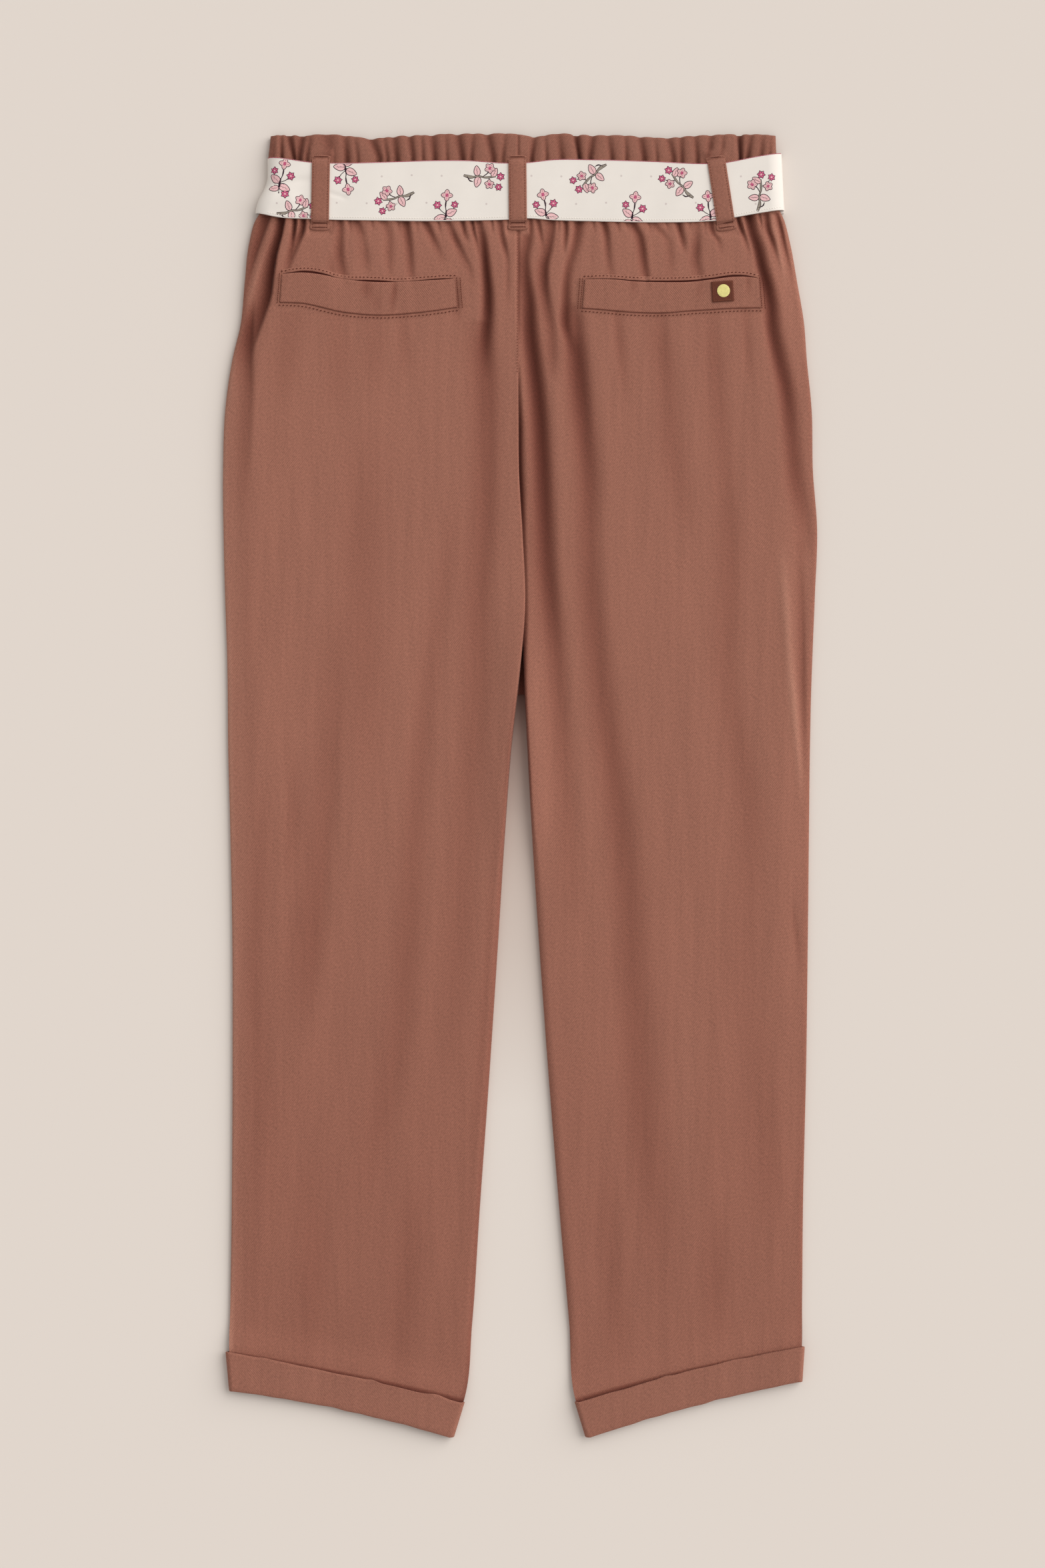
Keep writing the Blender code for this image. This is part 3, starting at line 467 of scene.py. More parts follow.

# %% [markdown]
# ## Folds one by one
# The elastic bunches the cloth, and the bunches run out into the seat as folds that get wider and softer.
# Each row of the table is one trough between two folds. Its line is a few points of x, drop and depth, and
# its spread to the left and to the right is given at the start and at the end. A negative depth is a ridge.
# Placing them one by one takes longer than a random pattern, but real folds are uneven, and the eye knows
# it. A trough that is narrow on one side reads as cloth that has folded over.

# %% Table of folds on the back
FOLD_COLUMNS = "line left right"
BACK_FOLDS = {
    LEFT: table_of(
        FOLD_COLUMNS,
        # The deep fold at the side, the ridge left of it and the small trough outside the ridge.
        ([(-136.6, 46, 4.8), (-139, 60, 5.0), (-141.6, 70, 5.0), (-143.6, 82, 4.8), (-145.6, 96, 4.2),
          (-149, 106, 3.2), (-153, 117, 2.2), (-156.4, 128, 0.7), (-158, 138, 0)], (3.6, 8.5), (1.0, 1.2)),
        ([(-155, 98, 0), (-156.6, 110, 1.6), (-156.8, 122, 1.8), (-157, 134, 1.7), (-157, 152, 1.0),
          (-159, 190, 0.5), (-161, 230, 0)], (6.0, 8.0), (1.6, 3.4)),
        ([(-140.4, 46, -0.2), (-143.3, 58, -0.3), (-149.6, 74, -0.5), (-156.4, 94, -0.6), (-161, 112, 0)],
          (2.0, 2.4), (2.0, 2.4)),
        ([(-145, 46, 2.6), (-149, 57, 2.6), (-153, 68, 2.4), (-157, 80, 2.0), (-160, 92, 1.5),
          (-163, 112, 0.8), (-165, 150, 0)], (6.0, 5.0), (2.2, 1.8)),
        # Short gathers under the left part of the belt.
        ([(-130.2, 46, 3.0), (-131.2, 58, 3.2), (-132.4, 65, 1.8), (-134, 74, 0.5), (-135, 80, 0)],
          (1.4, 2.2), (1.2, 1.6)),
        ([(-125.0, 46, 3.2), (-126.2, 58, 3.2), (-129.5, 66, 1.7), (-132, 72, 1.4), (-136, 84, 0.4),
          (-138, 92, 0)], (1.7, 4.5), (1.2, 2.2)),
        ([(-119.5, 46, 1.3), (-119.8, 53, 0.7), (-120, 58, 0)], (1.0, 1.0), (1.0, 1.0)),
        ([(-109, 46, 0.9), (-108.6, 54, 0.7), (-108.4, 60, 0)], (1.2, 1.2), (1.2, 1.2)),
        ([(-110, 70, 0), (-109.4, 79, 0.5), (-109, 90, 0)], (2.2, 3.0), (2.0, 3.0)),
        ([(-99.4, 46, 1.2), (-98.6, 54, 0.8), (-98, 60, 0)], (1.0, 1.0), (0.9, 0.9)),
        ([(-104, 46, 2.6), (-104, 57, 1.5), (-104, 72, 1.7), (-102.5, 82, 1.2), (-101.5, 92, 0)], (2.2, 5.0),
          (2.0, 3.6)),
        ([(-96.5, 46, 1.9), (-92.5, 56, 1.4), (-91, 62, 0.7), (-89, 72, 0.8), (-88.4, 84, 0)], (4.0, 4.8),
          (2.0, 2.8)),
        ([(-86.5, 46, 1.1), (-85.6, 53, 0.8), (-85, 58, 0)], (1.0, 0.9), (0.9, 0.9)),
        ([(-71.2, 46, 1.4), (-70.4, 53, 0.9), (-70, 60, 0)], (1.0, 1.0), (0.9, 0.9)),
        ([(-60.4, 46, 1.0), (-59.6, 54, 0.7), (-59, 60, 0)], (1.0, 1.0), (0.9, 0.9)),
        ([(-48.6, 46, 1.4), (-47.0, 54, 0.9), (-45.8, 60, 0)], (1.0, 1.0), (0.9, 0.9)),
        ([(-81, 46, 1.6), (-77, 55, 1.0), (-75.5, 62, 0.8), (-75.6, 72, 0.8), (-75, 88, 0)], (3.2, 2.6),
          (3.0, 3.4)),
        ([(-66, 46, 3.0), (-64.8, 58, 2.2), (-63.6, 68, 1.7), (-63, 80, 1.1), (-62, 92, 0)], (3.4, 2.8),
          (2.0, 2.6)),
        ([(-56, 46, 2.0), (-53, 55, 2.2), (-50, 62, 1.5), (-46.6, 70, 0.6), (-44, 78, 0)], (2.6, 3.4),
          (2.0, 2.6)),
        ([(-43.5, 46, 1.9), (-40, 55, 1.4), (-37, 62, 1.9), (-33.4, 70, 1.2), (-28.5, 81, 0.5), (-27, 90, 0)],
          (2.2, 4.0), (1.8, 2.4)),
        ([(-33.4, 46, 2.1), (-32.2, 57, 1.7), (-30, 65, 0)], (1.5, 1.5), (1.4, 1.6)),
        # The big valley left of the middle, and its soft run down the seat and the thigh.
        ([(-24.4, 46, 2.6), (-22.6, 55, 1.8), (-21.2, 61, 2.6), (-20, 70, 3.6), (-19, 80, 4.1),
          (-18, 92, 4.3), (-18, 106, 3.9), (-19, 118, 2.6), (-19.6, 132, 0.8), (-19, 146, 0)], (2.4, 3.8),
          (2.2, 3.8)),
        ([(-28.2, 46, 2.6), (-26.6, 58, 1.7), (-24.6, 66, 0.9), (-23.4, 74, 0)], (1.3, 1.5), (1.2, 1.4)),
        ([(-16.4, 46, 1.2), (-16.0, 54, 0.8), (-15.6, 60, 0)], (1.0, 1.0), (0.9, 0.9)),
        ([(-36.4, 84, 0), (-36.2, 98, 0.5), (-36, 114, 0)], (2.4, 3.0), (2.0, 2.6)),
        ([(-20, 110, 0.6), (-19, 126, 1.5), (-17.5, 145, 1.5), (-17, 175, 1.25), (-18, 225, 1.1),
          (-21, 270, 0.9), (-22.5, 330, 0.7), (-28, 390, 0.5), (-33, 470, 0.4), (-38, 560, 0)], (9.0, 12.0),
          (5.5, 10.0)),
        ([(-11.3, 46, 1.8), (-10.5, 58, 1.6), (-9, 65, 1.7), (-7.4, 72, 0.9), (-7, 88, 0.5), (-7, 104, 0)],
          (2.0, 2.0), (1.8, 1.8)),
        # Slow waves of the seat and the leg.
        ([(-131, 104, 0.2), (-134, 132, 0.35), (-137, 165, 0)], (8, 8), (8, 8)),
        ([(-104, 100, 0.2), (-103, 135, 0.3), (-106, 170, 0)], (8, 8), (8, 8)),
        ([(-83, 100, 0.15), (-83, 126, 0.3), (-82, 160, 0)], (8, 8), (7, 7)),
        ([(-68, 100, 0.2), (-66, 128, 0.3), (-66, 146, 0)], (4, 4), (5, 5)),
        ([(-86, 160, 0), (-88, 220, 0.4), (-88, 280, 0.45), (-87, 350, 0.3), (-86, 400, 0)], (12, 12),
          (14, 12)),
        ([(-36, 205, 0), (-40, 242, 0.3), (-48, 300, 0.4), (-54, 345, 0.5), (-60, 420, 0.6), (-64, 480, 0.6),
          (-69, 530, 0.45), (-80, 580, 0.3), (-93, 630, 0)], (6, 10), (7, 9)),
        ([(-106, 270, 0), (-106, 330, 0.4), (-109, 380, 0.5), (-114, 425, 0.6), (-119, 470, 0.7),
          (-126, 530, 0)], (13, 14), (5, 7)),
        ([(-131, 350, 0), (-131, 400, 0.4), (-134, 440, 0)], (5, 5), (5, 5)),
        ([(-13, 400, 0), (-17, 470, 0.3), (-21, 530, 0.3), (-25, 600, 0)], (3, 4), (3, 4)),
        ([(-148, 370, 0), (-149, 420, 0.3), (-153, 480, 0.3), (-149, 560, 0.25), (-147, 640, 0)], (5, 7),
          (6, 9)),
        ([(-60, 600, 0), (-62, 650, 0.35), (-66, 700, 0.3), (-68, 735, 0)], (9, 9), (9, 9)),
        ([(-122, 590, 0), (-118, 650, 0.35), (-121, 700, 0.2), (-124, 725, 0)], (10, 10), (9, 9)),
    ),
    RIGHT: table_of(
        FOLD_COLUMNS,
        # The deep valley right of the middle.
        ([(5.2, 46, 2.8), (5.2, 64, 2.0), (3.6, 73, 2.2), (4.2, 84, 2.8), (6, 97, 3.6), (7, 115, 4.2),
          (9.6, 137, 4.3), (12.2, 160, 4.2), (14.2, 190, 3.9), (15.6, 220, 3.4), (17, 250, 2.8),
          (19.5, 275, 2.3), (22, 300, 1.6), (26, 350, 0.9), (31, 420, 0.4), (34, 470, 0)], (3.8, 9.0),
          (3.2, 7.0)),
        ([(10.2, 46, 1.6), (11.7, 56, 1.6), (13.0, 66, 0.5), (13.4, 72, 0)], (1.6, 1.8), (1.4, 1.8)),
        ([(20.5, 46, 2.4), (19, 58, 1.7), (17.4, 68, 2.2), (15.3, 77, 2.8), (15, 88, 2.7), (16.4, 100, 1.9),
          (19, 118, 1.2), (19.4, 130, 1.0), (20, 146, 0)], (4.4, 4.0), (1.8, 3.6)),
        ([(27.2, 46, 2.5), (27, 60, 1.8), (25.5, 72, 0)], (1.8, 1.4), (1.5, 1.3)),
        ([(23.2, 46, 1.2), (22.8, 54, 0.7), (22.4, 59, 0)], (0.9, 0.9), (0.9, 0.9)),
        ([(42.4, 46, 1.3), (43.2, 54, 0.8), (44, 60, 0)], (1.0, 1.0), (0.9, 0.9)),
        # The second valley, which crosses the thigh.
        ([(35.5, 46, 3.2), (34, 57, 2.2), (32.4, 66, 1.8), (29.6, 75, 1.6), (27.8, 84, 1.9), (27.2, 100, 2.5),
          (27.0, 112, 2.6), (29, 121, 1.2), (32, 131, 0)], (1.9, 2.6), (4.6, 2.4)),
        ([(32, 98, 0), (33.4, 108, 1.7), (34, 117, 2.2), (34.6, 126, 3.0), (36.6, 148, 3.1), (39, 172, 2.4),
          (41.6, 200, 1.8), (42, 235, 1.3), (44, 275, 1.3), (49, 320, 1.3), (58, 380, 1.2), (65, 440, 1.0),
          (69, 500, 0.8), (74, 570, 0.7), (82, 640, 0.3), (86, 700, 0)], (6.0, 12.0), (4.4, 13.0)),
        # Gathers over the right pocket.
        ([(48, 46, 1.5), (50, 55, 2.4), (51, 62, 1.7), (51.6, 70, 1.2), (53.4, 84, 0.5), (54, 94, 0)],
          (2.0, 2.6), (2.0, 3.4)),
        ([(56.6, 46, 1.7), (57.2, 52, 1.2), (58, 60, 0)], (1.3, 1.3), (1.3, 1.3)),
        ([(61.0, 46, 1.2), (62.4, 53, 0.8), (63.4, 59, 0)], (0.9, 0.9), (0.9, 0.9)),
        ([(73.6, 46, 1.3), (75.4, 54, 0.8), (76.6, 60, 0)], (1.0, 1.0), (0.9, 0.9)),
        ([(84.8, 46, 1.0), (86, 54, 0.7), (87, 60, 0)], (1.0, 1.0), (0.9, 0.9)),
        ([(98.2, 46, 1.2), (99, 53, 0.8), (99.4, 58, 0)], (0.9, 0.9), (0.9, 0.9)),
        ([(107.6, 46, 1.3), (108, 54, 0.8), (108, 60, 0)], (1.0, 1.0), (0.9, 0.9)),
        ([(64.5, 46, 1.9), (67.6, 55, 2.3), (70.2, 60, 2.2), (71.6, 66, 2.4), (72.6, 74, 2.1), (74, 83, 1.5),
          (76, 95, 0)], (3.4, 3.6), (2.4, 1.8)),
        ([(77, 46, 0.7), (80, 55, 1.0), (86, 62, 0.6), (88, 72, 0.6), (87, 88, 0)], (3, 4), (3, 3)),
        ([(92.6, 46, 1.5), (93.3, 55, 2.4), (94.8, 62, 1.8), (96.4, 71, 0)], (1.8, 2.0), (2.4, 1.8)),
        ([(102.6, 46, 0.5), (103.6, 60, 0.9), (103.4, 68, 1.6), (103.4, 76, 1.3), (105.4, 84, 0.8),
          (108, 94, 0)], (2.2, 5.0), (2.2, 3.4)),
        ([(112.6, 46, 1.7), (112.4, 57, 2.0), (116, 64, 0.8), (117.5, 72, 0)], (2.0, 2.0), (2.0, 2.0)),
        # The side: a short trough, the deep fold and two small ones outside it.
        ([(126.2, 46, 3.0), (128.8, 55, 2.9), (131.2, 62, 1.4), (133.4, 70, 0.4), (134.6, 76, 0)], (1.8, 2.0),
          (1.5, 1.5)),
        ([(139.4, 46, 1.6), (140.6, 54, 0.8), (141.6, 59, 0)], (1.0, 1.0), (0.9, 0.9)),
        ([(133.2, 46, 4.4), (135.8, 58, 3.7), (138.8, 67, 4.0), (141.4, 78, 4.2), (144.2, 88, 4.2),
          (146.4, 99, 3.7), (148, 115, 3.4), (150.8, 128, 3.3), (155.8, 150, 3.0), (159, 176, 2.1),
          (161.6, 200, 1.8), (166, 226, 0.9), (168, 250, 0)], (2.0, 6.4), (4.4, 5.6)),
        ([(143.6, 46, 1.8), (145.2, 57, 2.6), (147.2, 63, 2.2), (149.2, 71, 0.8), (151.5, 80, 0.2),
          (153, 90, 0)], (2.2, 2.2), (1.8, 1.8)),
        ([(146.4, 46, -0.3), (149.4, 60, -0.5), (152.6, 76, -0.5), (155.6, 92, 0)], (1.8, 2.2), (1.6, 2.0)),
        ([(150, 46, 2.2), (152.8, 57, 2.6), (154.8, 67, 1.7), (157.6, 78, 0.8), (160, 90, 0)], (1.6, 1.8),
          (1.4, 1.4)),
        # Slow waves of the seat and the leg.
        ([(56.6, 100, 0.3), (58.4, 120, 0.7), (60.5, 140, 0.4), (62, 160, 0)], (3, 3), (4, 4)),
        ([(83, 100, 0.2), (84.6, 124, 0.75), (88, 150, 0.6), (91, 185, 0.55), (95, 208, 0.4), (100, 240, 0)],
          (7, 9), (4, 9)),
        ([(112, 100, 0.1), (114.4, 128, 0.6), (117, 158, 0.55), (120.5, 190, 0.45), (124, 230, 0.6),
          (124, 270, 0.6), (123, 310, 0.5), (127, 345, 0.5), (136, 390, 0.5), (137, 440, 0.3),
          (134, 480, 0.2), (142, 540, 0.25), (148, 600, 0.3), (153, 660, 0)], (6, 16), (5, 10)),
        ([(131.6, 100, 0.3), (133, 126, 0.5), (135, 150, 0)], (3, 3), (3, 3)),
        ([(153.0, 236, 0), (155.4, 272, -0.8), (157.2, 300, -0.75), (161.4, 344, -0.95), (165.5, 395, 0)],
          (3.4, 3.0), (3.0, 2.2)),
        ([(163.6, 236, 0.2), (164.4, 268, 0.65), (165, 300, 1.0), (165.8, 336, 0.8), (166.4, 376, 0)],
          (3.6, 2.6), (2.4, 2.0)),
        ([(158.6, 446, 0), (160.4, 460, 0.4), (162.4, 474, 0.4), (164, 492, 0)], (2.2, 2.2), (1.8, 1.8)),
        ([(98, 450, 0), (101, 520, -0.15), (100, 580, -0.2), (104, 640, 0)], (9, 10), (9, 10)),
        ([(52, 590, 0), (54, 640, 0.35), (58, 690, 0.3), (60, 735, 0)], (8, 9), (8, 9)),
        ([(118, 620, 0), (116, 670, 0.35), (120, 715, 0)], (9, 9), (9, 9)),
    ),
}
LEAN = 0.35


def fold_depth(folds, x, drop):
    """How deep the troughs are. A trough leans left of its line, so that its steep side is on it."""
    total = np.zeros(np.broadcast(x, drop).shape)
    for fold in folds:
        xs, drops, depths = zip(*fold.line)
        share = np.clip((drop - drops[0]) / (drops[-1] - drops[0]), 0, 1)
        right = mix(*fold.right, share) * mix(0.72, 1.0, ease(70, 130, drop))
        offset = x - curve(drops, xs, drop) + LEAN * right
        spread = np.where(offset < 0, mix(*fold.left, share), right)
        total += curve(drops, depths, drop) * ease(drops[0] - 0.01, drops[0] + 1, drop) * bell(offset, spread)
    return total


print("folds on the back:", {SIDES[side]: len(folds) for side, folds in BACK_FOLDS.items()})

# %% [markdown]
# ## The back panels
# The back rises from its side seam over a rounded edge to a flat top, and the folds are cut down into that.
# Where the left half laps over the right, the right half dips under it, which leaves the sharp shadow line
# in the middle of the seat. A very low, slow unevenness is added last, because no cloth lies quite flat.

# %% Height of the back
BACK_WALL = 0.7
EDGE_ROLL = 3.0
EDGE_SLOPE = 18.0
INNER_ROLL = 4.5
CROTCH_DROP = 327.0
CROTCH_REST = 352
CROTCH_RISE = 3.0
PARTING = (CROTCH_DROP - 30, CROTCH_DROP + 8)
SEAT_SEAM_END = (100, 132)
LAP_START = (128, 150)
CUFF_CLIMB = 70.0
# Painted shade down each leg, and painted light (negative) and shade along each outer edge.
LEG_SHADE = {LEFT: 0.38, RIGHT: 0.28}
SIDE_SHADE = {LEFT: -0.9, RIGHT: 0.4}
BACK_HIGH = [(39, 7.3), (51, 7.4), (60, 8.2), (78, 8.2), (105, 7.4), (150, 6.6), (250, 5.9), (330, 5.3),
             (450, 4.8), (761, 4.6)]
LAP_SHADE = [(112, 0.0), (142, 0.0), (152, 0.8), (162, 2.4), (172, 4.4), (205, 5.4), (214, 4.4), (223, 2.8),
             (234, 1.4), (250, 0.5), (262, 0.1), (273, 0.3), (284, 1.2), (293, 2.2), (302, 3.4), (312, 5.5),
             (330, 5.5)]
HELD_HIGH = 6.9
LOOPS = {"left": (-115.7, -116.4), "centre": (-1.6, -1.2), "right": (113.8, 120.0)}
LOOP_TOP = 15
LOOP_LENGTH = 40


def loop_centre(name, drop):
    upper, lower = LOOPS[name]
    return mix(upper, lower, (drop - LOOP_TOP) / LOOP_LENGTH)


def loop_slope(name):
    return (LOOPS[name][1] - LOOPS[name][0]) / LOOP_LENGTH


def under_loops(x, drop):
    """1 where the stitched end of a loop holds the cloth flat."""
    near = [plateau(x - loop_centre(name, drop), 5.6, 7.6) for name in LOOPS]
    return (1 - ease(57.5, 62, drop)) * np.max(near, axis=0)


def edge_rise(distance):
    """The rise from a folded edge: a small rounding, then a long low slope."""
    return 0.45 * roll(distance, EDGE_ROLL) + 0.55 * ease(0, EDGE_SLOPE, distance)


def lap_shade(drop):
    """How dark the groove beside the lap is."""
    drops, shades = zip(*LAP_SHADE)
    return np.interp(drop, drops, shades)


def beside_lap(x, drop, width):
    """1 at the edge of the left half's lap, fading to 0 over the right half."""
    return bell(np.maximum(0.0, x + inner_edge(LEFT, drop) - 0.2), width)


def slow_unevenness(x, drop):
    return (0.16 * np.sin(x / 17 + drop / 61 + 1.3) * np.sin(drop / 47 - x / 80)
            + 0.10 * np.sin(x / 9.5 - drop / 38) * np.sin(drop / 29 + x / 31 + 0.7))


def back_top(side, x, drop):
    """Height of the back's upper face."""
    floor_level = front_top(side, x, drop) + SEAM_GAP + BACK_WALL
    from_outer = outer_edge(side, drop) - side * x
    from_inner = side * x - inner_edge(side, drop)
    parted = ease(*PARTING, drop)
    drops, highs = zip(*BACK_HIGH)
    cuffed = on_cuff(side, x, drop, CUFF_CLIMB)
    held = under_loops(x, drop)
    flat = mix(mix(curve(drops, highs, drop), HELD_HIGH, held), floor_level, cuffed)
    near_crotch = plateau(drop - CROTCH_REST, 30, 100)
    flat = flat + CROTCH_RISE * near_crotch * bell(from_inner, 12) * (1 - cuffed)
    rise = edge_rise(from_outer) * mix(1, roll(from_inner, mix(INNER_ROLL, 1.1, near_crotch)), parted)
    high = mix(floor_level, flat, rise)
    inset = ease(0, 9, from_outer) * mix(1, ease(0, 9, from_inner), parted) * (1 - cuffed)
    dips = fold_depth(BACK_FOLDS[side], x, drop) * (1 - held) * ease(0, 7, from_outer) * (1 - cuffed)
    high = high - dips + slow_unevenness(x, drop) * inset
    seam = 1 - ease(*SEAT_SEAM_END, drop)
    high = high - 0.9 * seam * bell(from_inner, 1.1)
    if side == RIGHT:
        tuck = (1.4 + 0.3 * lap_shade(drop)) * ease(*LAP_START, drop)
        high = high - tuck * beside_lap(x, drop, 0.8 + 0.3 * lap_shade(drop))
    else:
        lap = ease(*LAP_START, drop) * (1 - parted)
        high = high - 0.6 * lap * (1 - roll(from_inner, 1.2))
    return soft_max(high, floor_level, 0.3)


def back_painted_shade(side, x, drop):
    """Painted shade in folds, seams, by the lap, over the cuff and down the legs, and painted light and shade
    at edges.
    """
    from_inner = side * x - inner_edge(side, drop)
    from_outer = outer_edge(side, drop) - side * x
    # Painted shade in the folds and along the seat seam.
    deep = fold_depth(BACK_FOLDS[side], x, drop) * (1 - under_loops(x, drop)) * ease(0, 3, from_outer)
    deep = deep + 1.1 * (1 - ease(*SEAT_SEAM_END, drop)) * bell(from_inner, 0.9)
    if side == RIGHT:
        # Painted shade in the groove beside the lap, and at the right leg's inner edge by the crotch.
        shade_there = lap_shade(drop) * beside_lap(x, drop, 1.5)
        shade_there = shade_there + 0.3 * ease(150, 170, drop) * beside_lap(x, drop, 8)
        deep = deep + shade_there * (1 - ease(CROTCH_DROP, CROTCH_DROP + 10, drop))
        deep = deep + 1.6 * bell(from_inner, 1.5) * plateau(drop - 335, 30, 75)
    # A painted shadow line above the cuff, and painted shade that grows down the legs.
    shadow_line = 3.2 * bell(np.maximum(0.0, above_cuff(side, x, drop)), 0.8)
    down_leg = LEG_SHADE[side] * ease(330, 640, drop)
    # Painted light and shade along the outer edges, and painted shade on the left leg's inner edge.
    painted_edge_light_and_shade = SIDE_SHADE[side] * (1 - ease(0.5, 4, from_outer)) * ease(100, 150, drop)
    if side == LEFT:
        painted_edge_light_and_shade = painted_edge_light_and_shade - 0.3 * (1 - ease(4, 14, from_outer)) * ease(100, 150, drop)
        painted_edge_light_and_shade = painted_edge_light_and_shade + 0.25 * (1 - ease(0, 3, from_inner)) * ease(135, 160, drop)
        painted_edge_light_and_shade = painted_edge_light_and_shade + 0.7 * (1 - ease(0.5, 3.5, from_inner)) * ease(CROTCH_DROP - 4, CROTCH_DROP + 8, drop)
    return np.clip(deep, -1.0, 6.0) + shadow_line + down_leg + painted_edge_light_and_shade


# %% Back panels
BACK_PLACES = steps((0, 3, 60), (3, 6, 36), (6, 9, 34), (9, 12, 24), (12, 17, 54), (17, 18.85, 22))


def back_panel(side):
    x, drop = leg_grid(side, BACK_PLACES, ends_closer(200, 0.3))
    piece = cloth(f"back_cloth_{SIDES[side]}", x, drop, back_top(side, x, drop), BACK_WALL, panel_twill,
                  hollow=back_painted_shade(side, x, drop))
    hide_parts(f"back_panel_{SIDES[side]}")
    return piece


backs = {side: back_panel(side) for side in SIDES}
print("points on a back panel:", len(backs[LEFT].data.vertices))

# %% [markdown]
# ## The front panels
# The front lies face down, so little of it shows: a sliver at the left of the waist, a patch at the crotch,
# and the inside of the leg openings. It needs the same cut and a flat underside that rests on the table. The
# two halves meet at the centre front seam, down to the crotch, and part below it.

# %% Front panels
FRONT_PLACES = steps((0, 3, 14), (3, 10.9, 24), (10.9, 11.0, 16), (11.0, 11.6, 6), (11.6, 18.85, 40))


def front_inner(side, drop):
    """The front's inner edge: the centre seam, then the inseam."""
    seam = 0.02
    inseam = np.maximum(seam, inner_edge(side, drop))
    return mix(seam, inseam, ease(CROTCH_DROP - 0.15, CROTCH_DROP + 0.15, drop))


def front_panel(side):
    x, drop = leg_grid(side, FRONT_PLACES, ends_closer(48, 0.4), inner=front_inner)
    top = front_top(side, x, drop)
    # Painted shade on the patch of front that shows at the crotch.
    in_shade = mix(5.4, 3.4, ease(312, 327, drop)) * plateau(x, 8, 20) * plateau(drop - CROTCH_DROP, 14, 40)
    piece = cloth(f"front_cloth_{SIDES[side]}", x, drop, top, FRONT_WALL, panel_twill, hollow=in_shade)
    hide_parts(f"front_panel_{SIDES[side]}")
    return piece


fronts = {side: front_panel(side) for side in SIDES}

# %% [markdown]
# ## The frill
# Above the elastic the waistband stands free, folded over at its top edge, and the gathers open out into
# waves. A wave's trough is narrow, with a wider hollow round it, and it gets deeper towards the stitching.
# The free edge dips in each trough, because there the cloth turns away from the eye. The frill is the upper
# part of the waistband, and the rest lies flat under the belt.

# %% Table of waves in the frill
FRILL_WAVES = table_of(
    "x_top x_low spread depth_top depth_low",
    (-143.6, -144.2, 1.2, 0.6, 2.0), (-139.4, -138.8, 1.1, 0.9, 2.6), (-134.8, -131.9, 1.5, 3.0, 3.4),
    (-127.2, -128.6, 1.7, 2.6, 3.0), (-122.4, -124.0, 1.3, 0.6, 1.8), (-113.0, -110.5, 3.6, 1.7, 1.6),
    (-102.4, -101.0, 1.9, 1.1, 2.6), (-96.5, -94.6, 1.3, 0.5, 1.3), (-87.0, -82.3, 2.3, 2.3, 2.6),
    (-79.6, -77.4, 1.3, 0.7, 1.5), (-73.7, -72.0, 1.9, 1.8, 2.6), (-64.6, -62.5, 1.6, 2.0, 2.3),
    (-57.6, -56.6, 1.2, 0.6, 1.5), (-51.6, -50.0, 2.0, 1.9, 2.5), (-43.8, -42.6, 1.3, 0.5, 1.3),
    (-36.6, -34.0, 2.0, 2.0, 2.8), (-27.6, -28.4, 1.5, 0.8, 1.8), (-19.3, -15.9, 1.9, 2.0, 2.4),
    (-8.9, -10.2, 1.4, 0.5, 1.4), (8.0, 6.6, 1.5, 1.4, 2.5), (14.4, 15.4, 1.2, 0.5, 1.4),
    (22.0, 24.0, 2.0, 0.9, 2.0), (32.4, 34.4, 1.3, 3.4, 3.6), (42.0, 40.6, 1.8, 1.8, 2.7),
    (51.0, 53.2, 1.7, 0.9, 2.0), (61.0, 61.8, 1.4, 0.7, 1.6), (69.6, 72.0, 1.9, 1.6, 2.6),
    (78.0, 79.6, 1.2, 0.4, 1.2), (86.0, 89.0, 1.9, 1.2, 2.2), (93.4, 94.0, 1.5, 1.2, 2.0),
    (101.6, 103.0, 1.6, 1.1, 2.1), (111.2, 109.6, 1.7, 1.3, 2.4), (118.4, 117.0, 1.2, 0.5, 1.3),
    (127.6, 128.2, 1.2, 3.4, 3.6), (134.2, 132.4, 1.5, 1.0, 2.4), (141.0, 140.0, 1.6, 0.5, 1.8),
    (146.4, 145.2, 1.2, 0.5, 1.4),
)
FRILL_EDGE = table_of(
    "x drop",
    (-146, 1.6), (-138, 0.5), (-126, 0.9), (-112, 0.0), (-100, 1.3), (-88, 2.6), (-70, 1.2), (-56, 0.8),
    (-44, 0.2), (-25, 0.0), (-5, 0.3), (9, 1.8), (23, 0.0), (34, 0.6), (44, 0.9), (66, 1.4), (82, 2.6),
    (100, 1.4), (120, 0.6), (140, 0.6), (150, 1.4),
)
FRILL_DEPTH = 14.5
PANEL_TOP = (39, 42)
WAISTBAND_HIGH = 7.5
WAIST_EDGE = {LEFT: (145.4, 146.6, 146.0), RIGHT: (149.0, 149.2, 147.4)}
CENTRE_SEAM = -1.1


def frill_depth(x, share):
    """Depth of the waves' troughs, with share 0 at the free edge and 1 at the stitching."""
    total = np.zeros(np.broadcast(x, share).shape)
    for wave in FRILL_WAVES:
        offset = x - mix(wave.x_top, wave.x_low, share)
        depth = mix(wave.depth_top, wave.depth_low, share)
        spread = wave.spread * mix(1.25, 0.8, share)
        total += depth * (0.7 * bell(offset, spread) + 0.3 * bell(offset, 2.4 * spread))
    return total * 1.1


def waist_base(x, drop):
    """Upper face of the front's waistband."""
    inside = (1 - ease(4, FRILL_DEPTH - 3, drop)) * (1 - ease(128, 140, np.abs(x)))
    ripple = 0.45 * (1 + np.sin(x / 5.2)) * inside
    return np.maximum(front_lift(x, drop), ripple) + FRONT_WALL


print("waves in the frill:", len(FRILL_WAVES))

# %% Back of the waistband
WAIST_SHARES = steps((0, 0.12, 6), (0.12, 1.0, 22), (1.0, 1.2, 4), (1.2, 2.0, 6))


def waist_x(side, share, u):
    half = curve([0, 1, 2], WAIST_EDGE[side], share)
    return side * half, mix(side * half, CENTRE_SEAM, u)


